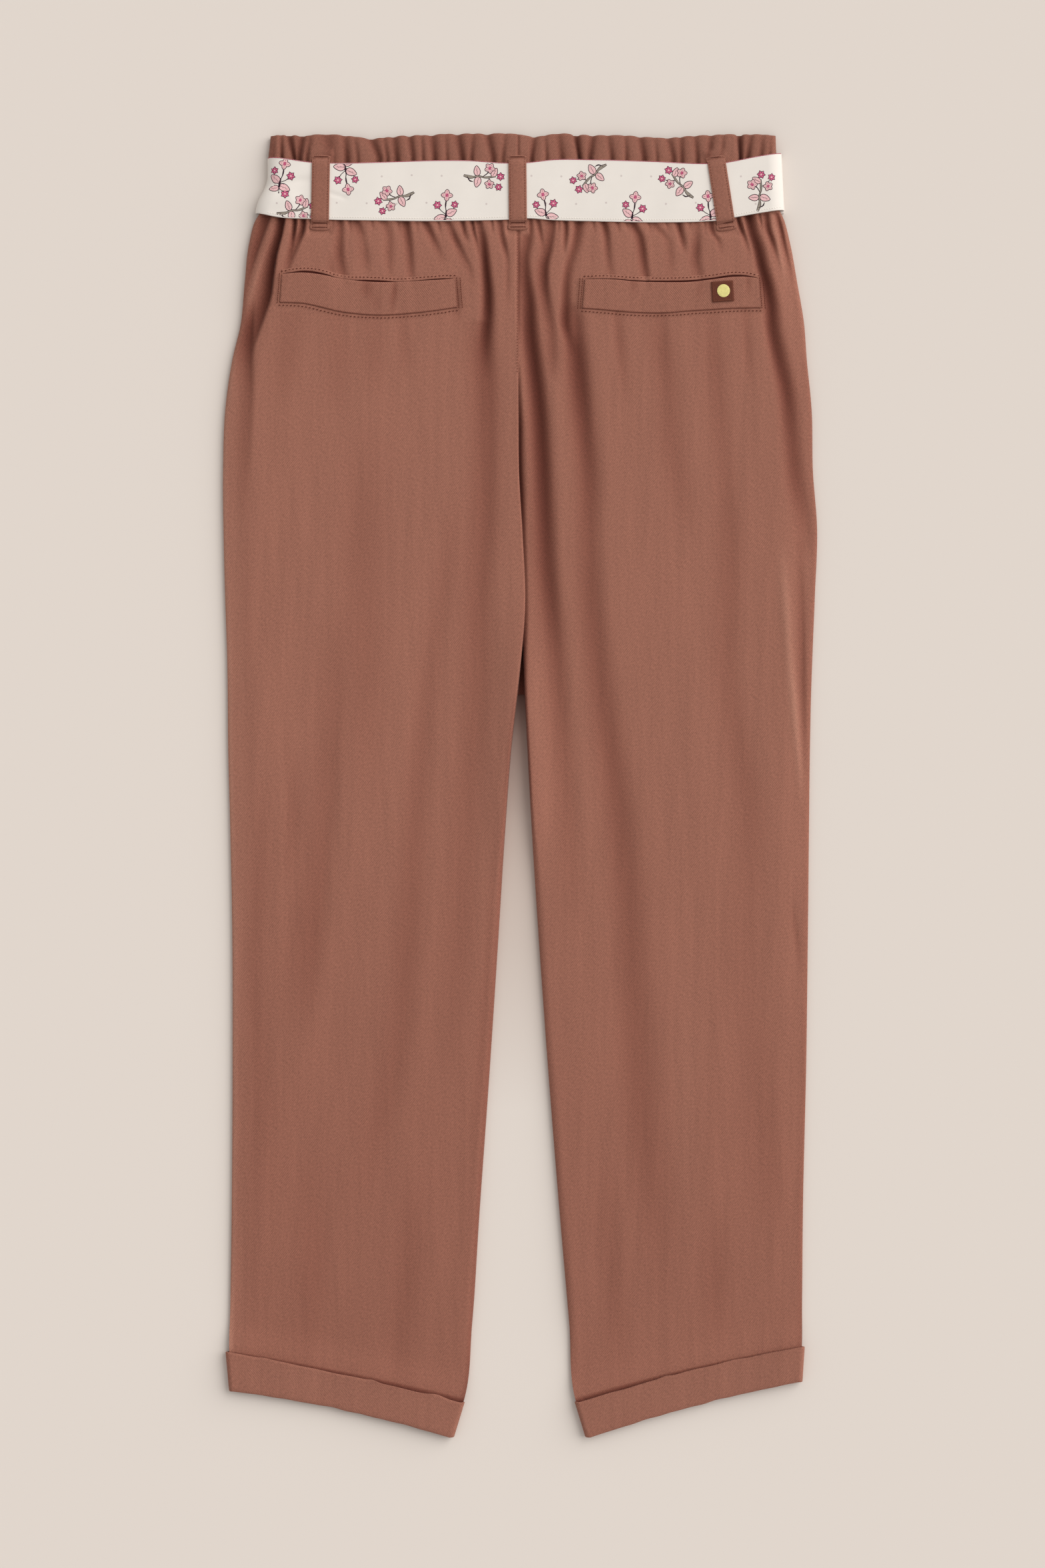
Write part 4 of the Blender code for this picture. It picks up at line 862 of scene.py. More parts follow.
def back_waistband(side):
    share = WAIST_SHARES[:, None]
    u = ends_closer(260, 0.15)[None, :]
    outer, x = waist_x(side, share, u)
    frill_share = np.minimum(share, 1)
    edge = curve_of(FRILL_EDGE, "x", "drop", x)
    troughs = frill_depth(x, frill_share)
    lip = edge + 0.4 * troughs * (1 - frill_share) ** 2
    panel_edge = mix(*PANEL_TOP, u) - SEAM_GAP
    drop = np.where(share <= 1, mix(lip, FRILL_DEPTH, frill_share), mix(FRILL_DEPTH, panel_edge, share - 1))
    floor_level = waist_base(x, drop) + SEAM_GAP + BACK_WALL
    free = 1 - frill_share
    fold_over = 1.1 * (1 - roll(frill_share * FRILL_DEPTH, 1.6))
    high = WAISTBAND_HIGH - 2.0 * free * free - fold_over
    high = mix(floor_level, high, roll(np.abs(x - outer), 6.0))
    held = under_loops(x, drop) * ease(0.55, 0.85, share)
    high = high - troughs * (1 - ease(0.15, 0.5, share - 1)) * (1 - held) * ease(0, 6, np.abs(x - outer))
    seam = bell(x - CENTRE_SEAM, 0.9)
    high = soft_max(high - 0.7 * seam, floor_level, 0.3)
    # Painted shade in the frill's troughs and along its centre seam.
    piece = cloth(f"frill_back_{SIDES[side]}", x, drop, high, BACK_WALL, frill_twill_in_painted_shade,
                  hollow=troughs * 0.68 + seam)
    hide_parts(f"waistband_back_{SIDES[side]}")
    return piece


# Painted shade: the frill's twill is the panel's cloth made darker, for cloth that stands up out of the
# light.
frill_twill_in_painted_shade = twill("terracotta frill twill", shade(TERRACOTTA, 0.84))
waist_backs = {side: back_waistband(side) for side in SIDES}


# %% Front of the waistband
def front_waistband():
    share = steps((0, 1.0, 10), (1.0, 1.1, 1), (1.1, 2.0, 5))[:, None]
    u = np.linspace(0, 1, 150)[None, :]
    left, right = (curve([0, 1, 2], WAIST_EDGE[side], share) for side in (LEFT, RIGHT))
    x = mix(-left, right, u)
    edge = curve_of(FRILL_EDGE, "x", "drop", x) + 0.8
    panel_edge = mix(*PANEL_TOP[::-1], np.abs(x) / np.where(x < 0, left, right)) - SEAM_GAP
    drop = np.where(share <= 1, mix(edge, FRILL_DEPTH, np.minimum(share, 1)),
                    mix(FRILL_DEPTH, panel_edge, share - 1))
    piece = cloth("frill_front", x, drop, waist_base(x, drop), FRONT_WALL, frill_twill_in_painted_shade)
    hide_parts("waistband_front")
    return piece


waist_front = front_waistband()

# %% [markdown]
# ## Thread
# A machine stitch is a short arch of thread that dives into the cloth at both ends. We make each one as a
# small six-sided capsule, bent down at its ends, and set a row of them at even steps along a line. The same
# helper makes the bar tacks, where the stitches stand side by side.

# %% Thread finish
def solid_colour(name, base, roughness=0.85, grain=0.12, grain_scale=120.0):
    """A plain thread or tape, with a little grain."""
    made, nodes, shader = new_material(name)
    place = add(nodes, "ShaderNodeUVMap", uv_map="cloth")
    fuzz = add(nodes, "ShaderNodeTexNoise", Vector=place.outputs[0], Scale=grain_scale, Detail=3.0)
    level = maths(nodes, "ADD", maths(nodes, "MULTIPLY", fuzz.outputs["Fac"], grain * 2), 1 - grain)
    fill(shader, Base_Color=mix_colours(nodes, base, level), Roughness=roughness, Specular_IOR_Level=0.12)
    return made


DARK_RED = colour(88, 44, 34)
dark_thread = solid_colour("dark thread", DARK_RED, 0.7, 0.1)


# %% Stitches along a line
STITCH_RINGS = 5
STITCH_SIDES = 6
STITCH_POINTS = STITCH_RINGS * STITCH_SIDES


def evenly(path, pitch):
    """Places at even steps along a line of (x, drop) points, and the direction there."""
    path = np.asarray(path, float)
    run = np.concatenate([[0.0], np.cumsum(np.hypot(*np.diff(path, axis=0).T))])
    count = max(1, round(run[-1] / pitch))
    where = (np.arange(count) + 0.5) * run[-1] / count

    def place(run_there):
        return np.stack([np.interp(run_there, run, path[:, k]) for k in (0, 1)])

    x, drop = place(where)
    dx, dd = place(where + 0.2) - place(where - 0.2)
    size = np.hypot(dx, dd)
    return np.stack([x, drop, dx / size, dd / size])


def stitches(name, paths, high, finish, pitch=2.2, length=1.4, width=0.42,
             side_by_side=False):
    """Rows of stitches along the paths. high(x, drop) is the height of the cloth there."""
    x, drop, dx, dd = np.concatenate([evenly(path, pitch) for path in paths], axis=1)[:, :, None, None]
    if side_by_side:
        dx, dd = -dd, dx
    lengthwise = np.array([-1, -0.75, 0, 0.75, 1])[None, :, None]
    thick = np.array([0.3, 0.8, 1, 0.8, 0.3])[None, :, None] * width / 2
    turn = np.arange(STITCH_SIDES)[None, None, :] * np.pi / 3
    ring_x = x + dx * lengthwise * length / 2
    ring_drop = drop + dd * lengthwise * length / 2
    arch = high(ring_x, ring_drop) + width * (0.42 - 0.5 * lengthwise ** 2)
    aside, up = np.cos(turn), np.sin(turn)
    points = at(ring_x - dd * aside * thick, ring_drop + dx * aside * thick, arch + up * thick)
    count = x.size
    index = np.arange(count * STITCH_POINTS).reshape(count, STITCH_RINGS, STITCH_SIDES)
    beside = np.roll(index, -1, axis=2)
    walls = np.stack([index[:, 1:], beside[:, 1:], beside[:, :-1], index[:, :-1]], axis=-1).reshape(-1, 4)
    caps = np.concatenate([index[:, 0], index[:, -1, ::-1]])
    faces = walls.tolist() + caps.tolist()
    vertices = points.reshape(-1, 3)
    places = vertices[:, :2] / MM
    return link_piece(name, vertices, faces, places, finish)


print("linear colour of the dark thread", [round(c, 3) for c in DARK_RED[:3]])

# %% [markdown]
# ## The belt
# The belt is a flat tube of cream cotton, turned through and pressed, so both its edges are folds. Round the
# back it follows the waist, and its left end bulges a little where it turns under. Its lower edge has a row
# of tiny stitches, and a thread of the print's pink ends up along its upper edge.

# %% Cotton finish
THREAD_PITCH = 0.42
COTTON_TONE = 0.03
COTTON_BUMP = 0.02


def plain_weave(name, base):
    """Fine plain-woven cotton: threads both ways, and slubs where the yarn is uneven."""
    made, nodes, shader = new_material(name)
    place = add(nodes, "ShaderNodeUVMap", uv_map="cloth").outputs[0]
    threads = [add(nodes, "ShaderNodeTexWave", bands_direction=direction, Vector=place,
                   Scale=BAND_SCALE / THREAD_PITCH, Distortion=1.5, Detail=2.0, Detail_Scale=1.2)
               for direction in ("X", "Y")]
    weave = maths(nodes, "MULTIPLY", *(thread.outputs["Fac"] for thread in threads))
    slubs = add(nodes, "ShaderNodeTexNoise", Vector=place, Scale=9.0, Detail=5.0, Roughness=0.6)
    light = maths(nodes, "ADD", maths(nodes, "MULTIPLY", weave, COTTON_TONE * 0.6),
                  maths(nodes, "MULTIPLY", slubs.outputs["Fac"], COTTON_TONE * 2))
    level = maths(nodes, "ADD", light, 1 - COTTON_TONE * 1.2)
    relief = add(nodes, "ShaderNodeBump", Strength=0.5, Distance=COTTON_BUMP * MM, Height=weave)
    fill(shader, Base_Color=mix_colours(nodes, base, level), Normal=relief.outputs[0], Roughness=0.9,
         Specular_IOR_Level=0.15, Sheen_Weight=0.08)
    return made


CREAM = colour(231, 223, 214)
cream_cotton = plain_weave("cream cotton", CREAM)

# %% Shape of the belt
BELT_ROWS = table_of(
    "x upper lower",
    (-154.0, 14.0, 46.6), (-141.6, 14.8, 49.4), (-121.0, 17.6, 50.6), (-110.6, 18.0, 51.0),
    (-82.6, 17.6, 51.5), (-51.2, 16.6, 51.8), (-30.7, 16.6, 51.6), (-7.8, 18.0, 51.0), (3.9, 17.8, 50.3),
    (18.0, 16.2, 51.2), (45.4, 16.2, 52.0), (79.5, 17.2, 52.6), (107.9, 18.4, 52.0), (116.0, 18.2, 51.4),
    (124.9, 16.8, 49.7), (136.6, 14.4, 47.6), (154.0, 11.6, 44.8),
)
BELT_WALL = 1.0
BELT_WIDTH = 34
BELT_HIGH = WAISTBAND_HIGH + SEAM_GAP + BELT_WALL
BELT_ENDS = (-154.2, 154.0)
BELT_FLARE = (7.0, 1.6)


def belt_edge(x, share):
    """The drop of the belt's edges on the back, with share 0 at the upper one and 1 at the lower one."""
    return mix(curve_of(BELT_ROWS, "x", "upper", x), curve_of(BELT_ROWS, "x", "lower", x), share)


def belt_x(u, share):
    """x along the belt. Its upper corners lie in from its lower ones, and its left end bulges."""
    left = BELT_ENDS[0] + BELT_FLARE[0] * (1 - ease(0.30, 0.98, share))
    right = BELT_ENDS[1] - BELT_FLARE[1] * (1 - share)
    return mix(left, right, u)


def belt_top(x, drop):
    """Height of the belt's upper face."""
    share = (drop - belt_edge(x, 0)) / (belt_edge(x, 1) - belt_edge(x, 0))
    end = np.minimum(x - belt_x(0, share), belt_x(1, share) - x)
    high = mix(UNDER_BELT + BELT_WALL, BELT_HIGH, roll(end, 8.5))
    folded_edge = 0.3 * (1 - roll(np.minimum(share, 1 - share) * BELT_WIDTH, 0.5))
    waves = 0.10 * np.sin(x / 7.3 + 0.6) + 0.08 * np.sin(x / 4.1 + drop / 9)
    crease = 0.6 * bell(drop - 31.5 + 0.16 * (x + 149), 2.2) * plateau(x + 140, 12, 22)
    bulge = 0.8 * bell(drop - 39, 6) * plateau(x + 142, 8, 16)
    slack = 0.5 * bell(drop - 36.2 - 0.29 * (x + 109), 1.0) * plateau(x + 106, 3, 7)
    return high - folded_edge + waves * ease(0, 8, end) - crease + bulge - slack


def belt_back():
    share = steps((0, 0.02, 4), (0.02, 0.98, 28), (0.98, 1.0, 4))[:, None]
    x = belt_x(ends_closer(240, 0.4)[None, :], share)
    drop = belt_edge(x, share)
    piece = cloth("belt_cotton_back", x, drop, belt_top(x, drop), BELT_WALL, cream_cotton)
    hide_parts("belt_back")
    return piece


def belt_front():
    share = np.linspace(0, 1, 9)[:, None]
    x = belt_x(np.linspace(0, 1, 120)[None, :], share)
    top = UNDER_LOOP * plateau(np.abs(x) - FRONT_LOOP_X, 10.5, 16) + BELT_WALL
    drop = front_belt_edge(x, share)
    piece = cloth("belt_cotton_front", x, drop, top, BELT_WALL, cream_cotton)
    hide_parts("belt_front")
    return piece


belts = [belt_back(), belt_front()]
print("belt is", round(float(belt_edge(0.0, 1) - belt_edge(0.0, 0)), 1), "mm wide at the middle")

# %% [markdown]
# ## The print
# The cotton is printed with loose sprigs: a bent twig with a few round blossoms, pointed leaves and small
# starry buds, and faint dots between them. Print has no thickness, but a very thin plate on the cloth keeps
# its edges sharp and is part of the mesh. Each shape is laid twice: a slightly larger dark one under a
# coloured one leaves the fine outline. A shape that runs over the edge of the belt is cut there, as printed
# cloth is.

# %% Printed shapes
PRINT_INK = {
    "outline": colour(54, 36, 46),
    "pale_pink": colour(231, 186, 186),
    "rose": colour(200, 98, 130),
    "bark": colour(148, 138, 126),
    "dot": colour(206, 194, 188),
}
inks = {name: solid_colour(f"ink {name}", ink, 0.9, 0.05, 90.0) for name, ink in PRINT_INK.items()}
printed = {name: [] for name in PRINT_INK}


def lay(ink, outline, lift):
    """Remember a flat shape of (x, drop) points."""
    printed[ink].append((np.asarray(outline, float), lift))


def turns(outline):
    """Twice the area of a closed outline. Its sign tells which way round the outline goes."""
    x, drop = outline.T
    return np.sum(x * np.roll(drop, -1) - np.roll(x, -1) * drop)


def grown(outline, margin):
    """The same shape, larger by margin all round."""
    outline = np.asarray(outline, float)
    away = np.roll(outline, 1, axis=0) - np.roll(outline, -1, axis=0)
    normal = np.stack([-away[:, 1], away[:, 0]], axis=1) / np.maximum(np.hypot(*away.T), 1e-6)[:, None]
    return outline + normal * margin * (1 if turns(outline) > 0 else -1)


def inked(ink, outline, level=0, line=0.4):
    """A coloured shape with a fine dark line round it."""
    lay("outline", grown(outline, line), 0.03 + 0.06 * level)
    lay(ink, outline, 0.06 + 0.06 * level)


def turned(points, angle, centre=(0.0, 0.0)):
    """Points in a motif's own frame, turned by angle degrees and set at centre."""
    along, across = np.asarray(points, float).T
    c, s = math.cos(math.radians(angle)), math.sin(math.radians(angle))
    return np.stack([centre[0] + along * c - across * s, centre[1] + along * s + across * c], axis=1)


def from_centre(distance, angle, centre):
    """The point at this distance from centre, in the direction of angle."""
    return turned([(distance, 0)], angle, centre)[0]


def sliver(start, end, wide, narrow):
    """A thin four-sided mark along x, wide at its start and narrow at its end."""
    return [(start, -wide), (end, -narrow), (end, narrow), (start, wide)]


def petal(length, width, count=12, point=1.0):
    """A petal or leaf that grows from the origin along x. point above 1 sharpens its tip."""
    t = np.linspace(0, 2 * np.pi, count, endpoint=False)
    share = (1 - np.cos(t)) / 2
    return np.stack([length * share, width / 2 * np.sin(t) * (1 - share ** 2 * (1 - 1 / point))], axis=1)


def blossom(centre, radius, angle, petals=5):
    for k in range(petals):
        way = angle + 360 * k / petals
        inked("pale_pink", turned(petal(radius, radius * 0.8, point=1.4), way, centre), level=1, line=0.36)
        lay("outline", turned(sliver(0.5 * radius, 0.86 * radius, 0.09, 0.05), way, centre), 0.15)
    heart = petal(radius * 0.7, radius * 0.55)
    lay("rose", turned(heart, angle, from_centre(-radius * 0.35, angle, centre)), 0.2)
    for k in range(3):
        speck = from_centre(radius * 0.18, angle + 120 * k, centre)
        lay("outline", turned(petal(0.42, 0.36, 8), 0, speck), 0.24)


def starry_bud(centre, radius, angle):
    t = np.arange(12)
    reach = np.where(t % 2 == 0, radius, radius * 0.62)
    star = np.stack([reach * np.cos(t * np.pi / 6), reach * np.sin(t * np.pi / 6)], axis=1)
    inked("rose", turned(star, angle, centre))
    heart = petal(radius * 0.5, radius * 0.4)
    lay("pale_pink", turned(heart, angle, from_centre(-radius * 0.25, angle, centre)), 0.1)
    for k in range(0, 12, 2):
        cut = sliver(radius * 0.34, radius * 0.66, 0.1, 0.06)
        lay("outline", turned(cut, angle + 30 * k + 30, centre), 0.12)


def leaf(stalk, length, angle, width=0.5):
    inked("pale_pink", turned(petal(length, length * width, 14, 2.4), angle, stalk))
    lay("outline", turned(sliver(0.1 * length, 0.84 * length, 0.11, 0.04), angle, stalk), 0.1)
    for start, lean in ((0.32, 42), (0.5, -42), (0.62, 40)):
        rib = sliver(0, 0.2 * length * width, 0.06, 0.04)
        lay("outline", turned(rib, angle + lean, from_centre(start * length, angle, stalk)), 0.1)


def twig(points, start, end, ink="bark", line=0.32):
    """A twig that tapers from start to end in width."""
    points = np.asarray(points, float)
    keys = np.linspace(0, 1, len(points))
    t = np.linspace(0, 1, 14)
    x, drop = curve(keys, points[:, 0], t), curve(keys, points[:, 1], t)
    dx, dd = np.gradient(x), np.gradient(drop)
    half = mix(start, end, t) / 2 / np.hypot(dx, dd)
    one = np.stack([x - dd * half, drop + dx * half], axis=1)
    other = np.stack([x + dd * half, drop - dx * half], axis=1)
    inked(ink, np.concatenate([one, other[::-1]]), line=line)


# %% Sprigs along the belt
MOTIF_SIZE = 1.22


def motif_frame(centre, angle, flip):
    """Three helpers for a motif: stem draws a twig, put places a point and way turns a direction."""
    def moved(points):
        return turned(np.asarray(points, float) * (flip * MOTIF_SIZE, MOTIF_SIZE), angle, centre)

    def stem(points, *widths_and_ink):
        twig(moved(points), *widths_and_ink)

    def put(x, drop):
        return moved([(x, drop)])[0]

    def way(degrees):
        return angle + (degrees if flip > 0 else 180 - degrees)

    return stem, put, way


def bough(centre, angle, flip):
    """A bent twig with two blossoms, three broad leaves and two buds. The motif is about 22 mm long."""
    stem, put, way = motif_frame(centre, angle, flip)
    stem([(-9.8, 3.4), (-6.6, 3.3), (-3.4, 1.2), (0.5, 0.4), (4.4, -1.8)], 0.75, 0.3)
    stem([(-8.2, 3.2), (-6.4, 4.8), (-4.6, 4.6)], 0.3, 0.2, "outline", 0.05)
    stem([(-1.4, 0.8), (0.2, -1.6), (0.4, -3.4)], 0.34, 0.24, "outline", 0.05)
    stem([(1.6, 0.1), (3.8, 1.8), (6.0, 2.2)], 0.34, 0.24, "outline", 0.05)
    leaf(put(-3.0, 1.6), 5.8, way(82), 0.72)
    leaf(put(-3.8, 1.0), 5.5, way(-118), 0.7)
    leaf(put(3.0, -1.2), 5.3, way(-84), 0.66)
    blossom(put(0.4, -4.4), 2.9, way(-80))
    blossom(put(3.0, 2.8), 2.6, way(30))
    starry_bud(put(6.6, -2.6), 2.3, way(10))
    starry_bud(put(7.6, 2.4), 2.1, way(40))


def posy(centre, angle, flip):
    """An upright stem with one blossom, three broad leaves and three buds. The motif is about 18 mm tall."""
    stem, put, way = motif_frame(centre, angle, flip)
    stem([(0.6, 8.6), (-0.5, 3.6), (0.5, -1.0), (0, -4.4)], 0.5, 0.26, "outline", 0.05)
    stem([(-0.4, 3.6), (2.4, 1.6), (3.6, 0.2)], 0.32, 0.22, "outline", 0.05)
    leaf(put(-0.5, 3.4), 6.2, way(-150), 0.74)
    leaf(put(0.0, 4.8), 6.5, way(12), 0.7)
    leaf(put(-0.2, 6.0), 5.3, way(158), 0.7)
    blossom(put(0, -5.8), 3.2, way(-90), 4)
    starry_bud(put(4.2, -0.8), 2.4, way(0))
    starry_bud(put(-4.0, -1.6), 2.1, way(20))
    starry_bud(put(3.6, 8.2), 2.4, way(15))


SPRIGS = table_of(
    "kind x drop angle flip",
    (posy, -138.5, 25.5, 14, 1), (bough, -129.0, 45.0, 8, 1), (posy, -101.0, 26.5, 172, 1),
    (bough, -74.0, 38.5, -34, -1), (posy, -43.0, 44.0, 4, -1), (bough, -20.0, 26.0, 22, 1),
    (posy, 14.5, 43.5, -10, 1), (bough, 40.5, 27.5, 158, 1), (posy, 66.0, 45.0, 8, 1),
    (bough, 92.0, 29.0, 28, -1), (posy, 110.0, 44.5, -6, -1), (bough, 139.5, 33.5, -64, 1),
)
DOTS_IN_A_ROW = 18
DOT_PITCH = 17.4
DOT_ROWS = ((25.6, 0.0), (41.6, 8.6))
PRINT_DOT_RADIUS = 0.6
for sprig in SPRIGS:
    sprig.kind((sprig.x, sprig.drop), sprig.angle, sprig.flip)
for k in range(DOTS_IN_A_ROW):
    for row_drop, shift in DOT_ROWS:
        turn = np.linspace(0, 2 * np.pi, 10, endpoint=False)
        x, drop = -150 + DOT_PITCH * k + shift, row_drop + 0.4 * math.sin(k * 2.1)
        spot = [x + PRINT_DOT_RADIUS * np.cos(turn), drop + PRINT_DOT_RADIUS * np.sin(turn)]
        lay("dot", np.stack(spot, axis=1), 0.02)
print("printed shapes:", {ink: len(shapes) for ink, shapes in printed.items()})


# %% Lay the print on the belt
def on_belt(x, drop):
    """Points held within the belt's pressed edges."""
    drop = np.clip(drop, belt_edge(x, 0) + 0.7, belt_edge(x, 1) - 0.5)
    share = (drop - belt_edge(x, 0)) / (belt_edge(x, 1) - belt_edge(x, 0))
    return np.clip(x, belt_x(0.004, share), belt_x(0.996, share)), drop


def mostly_on_belt(outline):
    x, drop = outline.T
    return np.mean((drop > belt_edge(x, 0)) & (drop < belt_edge(x, 1)) & (np.abs(x) < 151)) > 0.35


def plates(name, shapes, finish):
    """Thin closed plates on the belt, one for each shape: a hub, a ring half way out and the outline."""
    vertices, faces, places = [], [], []
    for outline, lift in filter(lambda shape: mostly_on_belt(shape[0]), shapes):
        hub = outline.mean(axis=0)
        count = len(outline)
        first = len(vertices)
        for share, level in ((0.0, lift), (0.5, lift), (1.0, lift), (1.0, -0.2), (0.0, -0.2)):
            ring = hub + (outline - hub) * share if share else hub[None, :]
            x, drop = on_belt(ring[:, 0], ring[:, 1])
            vertices.extend(at(x, drop, belt_top(x, drop) + level))
            places.extend(np.stack([x, -drop], axis=1))
        half, top, bottom, under = (first + 1 + count * k for k in range(4))
        sunwise = turns(outline) < 0
        for k in range(count):
            after = (k + 1) % count
            made = [(first, half + k, half + after), (under, bottom + after, bottom + k)]
            made += [(ring + k, ring + count + k, ring + count + after, ring + after) for ring in (half, top)]
            faces.extend(made if sunwise else [face[::-1] for face in made])
    link_piece(name, np.array(vertices), faces, np.array(places), finish, smooth_below=30)


for ink, shapes in printed.items():
    plates(f"belt_print_{ink}", shapes, inks[ink])

# %% Edge line and stitches of the belt
cream_thread = solid_colour("cream thread", colour(240, 232, 222), 0.7, 0.06)
red_thread = solid_colour("red thread", colour(178, 74, 96), 0.8, 0.1)
belt_run = np.linspace(-147, 152, 220)
edge_line = np.stack([belt_run, belt_edge(belt_run, 0) + 0.25], axis=1)
low_line = np.stack([belt_run, belt_edge(belt_run, 1) - 1.5], axis=1)
belt_trims = [
    stitches("belt_edge_thread", [edge_line], belt_top, red_thread, 0.9, 0.86, 0.4),
    stitches("belt_hem_stitches", [low_line], belt_top, cream_thread, 1.5, 1.0, 0.34),
]
print("stitches on the belt:", [len(piece.data.vertices) // STITCH_POINTS for piece in belt_trims])

# %% [markdown]
# ## The loops
# A belt loop is a strip folded in three, topstitched down both edges and bar-tacked at each end. It rides
# over the belt and comes down to the cloth at its ends, which leaves a soft step above and below the belt.
# The lower end is tucked under, so it makes a fat little lip. The front has two loops, pressed flat under
# everything else.

# %% Loops
LOOP_WIDTH = 10.4
HALF_LOOP = LOOP_WIDTH / 2
LOOP_WALL = 0.9
LOOP_UPPER_ROWS = 8
LOOP_PROFILE = [(-4.6, -2.5), (-4.2, -1.9), (-3.4, -1.7), (-2.6, -2.1), (-1.9, -1.7), (-0.6, -0.3),
                (1.0, 0.0), (15.0, 0.1), (-15.0, 0.1), (-1.0, 0.0), (0.8, -0.4), (2.0, -1.8), (2.9, -2.2),
                (3.6, -1.8), (5.4, -1.6), (6.2, -1.9), (6.6, -2.6)]


def loop_profile(name):
    """Drop and height along a loop's middle. The upper rows count from the belt's upper edge."""
    upper, lower = belt_edge(LOOPS[name][0], 0), belt_edge(LOOPS[name][1], 1)
    drops = [(upper if k < LOOP_UPPER_ROWS else lower) + row[0] for k, row in enumerate(LOOP_PROFILE)]
    heights = [BELT_HIGH + SEAM_GAP + LOOP_WALL + row[1] for row in LOOP_PROFILE]
    return np.array(drops, float), np.array(heights, float)


def loop_top(name, across, drop):
    drops, heights = loop_profile(name)
    crown = 0.35 * (across / HALF_LOOP) ** 4 + 0.12 * bell(np.abs(across) - 3.6, 0.5)
    return np.interp(drop, drops, heights) - crown


def belt_loop(name):
    drops = loop_profile(name)[0]
    along = np.concatenate([np.linspace(drops[0], drops[6], 26), np.linspace(drops[6], drops[9], 18)[1:],
                            np.linspace(drops[9], drops[-1], 30)[1:]])[:, None]
    across = ends_closer(17, 0.35)[None, :] * LOOP_WIDTH - HALF_LOOP
    upper_lip, lower_lip = drops[0] + 2, drops[-1] - 4.2
    lips = 1 + 0.1 * (ease(lower_lip, drops[-1] - 3.2, along) + 1 - ease(upper_lip, drops[0] + 3, along))
    near_ends = ease(drops[-1] - 1.5, drops[-1], along) - 1 + ease(drops[0], drops[0] + 1.5, along)
    corner = 0.9 * (np.abs(across) / HALF_LOOP) ** 6 * near_ends
    x = loop_centre(name, along) + across * lips
    drop = along - loop_slope(name) * across - corner
    piece = cloth(f"loop_{name}", x, drop, loop_top(name, across, along), LOOP_WALL, loop_twill)
    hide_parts(f"belt_loop_back_{name}")
    return piece


def front_loop(side):
    across = ends_closer(9, 0.3)[None, :] * LOOP_WIDTH - HALF_LOOP
    drop = np.linspace(FRONT_BELT[0] - 4.2, FRONT_BELT[1] + 5, 30)[:, None]
    x, drop = np.broadcast_arrays(side * FRONT_LOOP_X + across, drop)
    piece = cloth(f"loop_front_{SIDES[side]}", x, drop, np.full(x.shape, 1.0), 1.0, loop_twill)
    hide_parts(f"belt_loop_front_{SIDES[side]}")
    return piece


loops = [belt_loop(name) for name in LOOPS] + [front_loop(side) for side in SIDES]


# %% Stitches of the loops
loop_thread = solid_colour("loop thread", colour(116, 68, 55), 0.8, 0.1)


def loop_stitches(name):
    """Two rows down the edges, a bar tack across the top and two across the bottom."""
    drops = loop_profile(name)[0]

    def high(x, drop):
        return loop_top(name, x - loop_centre(name, drop), drop)

    def line(across, start, end):
        down = np.linspace(start, end, 30)
        return np.stack([loop_centre(name, down) + across, down], axis=1)

    def bar(drop):
        across = np.linspace(-4.2, 4.2, 8)
        return np.stack([loop_centre(name, drop) + across, drop - loop_slope(name) * across], axis=1)

    rows = [line(across, drops[0] + 1.6, drops[-1] - 1.2) for across in (-4.25, 4.25)]
    stitches(f"loop_{name}_rows", rows, high, loop_thread, pitch=1.6, length=1.1, width=0.26)
    bars = [bar(drops[0] + 1.0), bar(drops[-1] - 4.4), bar(drops[-1] - 1.9)]
    stitches(f"loop_{name}_bars", bars, high, dark_thread, pitch=0.5, length=0.85, width=0.3,
             side_by_side=True)


for name in LOOPS:
    loop_stitches(name)
print("loops:", [piece.name for piece in loops])

# %% [markdown]
# ## The pockets
# A welt pocket is a slit in the seat, closed by a narrow folded band, the welt. The band is cut with its
# ribs running the other way, so it shows against the seat. The slit gapes a little at one end. Its dark
# mouth is a thin sliver of the pocket's shadowed inside, and above it the cut edge of the seat makes a low
# lip.

# %% Welts
WELT_COLUMNS = "x drop depth gape"
WELT_POINTS = {
    LEFT: table_of(
        WELT_COLUMNS,
        (-138.6, 82.6, 16.6, 0.1), (-133, 82.0, 17.4, 0.5), (-126, 81.8, 18.0, 1.1), (-114, 83.2, 19.2, 0.9),
        (-106, 84.9, 19.4, 0.1), (-99, 86.0, 19.4, 0.1), (-91, 86.8, 19.4, 0.8), (-79, 87.4, 19.2, 0.9),
        (-71, 87.2, 19.0, 0.15), (-65, 86.9, 18.8, 0.15), (-54, 86.3, 18.3, 0.5), (-44, 85.7, 17.5, 0.6),
        (-38.0, 85.2, 17.0, 0.1),
    ),
    RIGHT: table_of(
        WELT_COLUMNS,
        (37.4, 85.6, 17.0, 0.2), (52, 85.6, 18.2, 0.4), (66, 86.8, 18.2, 0.6), (86, 87.4, 17.8, 0.9),
        (98.5, 87.2, 17.0, 1.0), (111, 85.8, 17.6, 0.9), (125, 84.2, 18.4, 1.1), (134, 84.4, 18.0, 0.6),
        (138.6, 85.2, 17.2, 0.1),
    ),
}
DENT_COLUMNS = "x down reach depth"
WELT_DENTS = {
    LEFT: table_of(DENT_COLUMNS, (-89.4, 0.2, 3.4, 1.0), (-83.6, 0.6, 3.0, 0.4),
                   (-73.0, 0.25, 1.2, 1.5), (-74.4, 0.6, 1.2, 1.0)),
    RIGHT: table_of(DENT_COLUMNS, (66.0, 0.1, 2.2, 0.5), (104.0, 0.3, 2.0, 0.5), (132.5, 0.2, 1.6, 0.7)),
}
WELT_WALL = 0.6
WELT_DEEP = 17
WELT_LONG = 102
LEAST_GAPE = 0.08
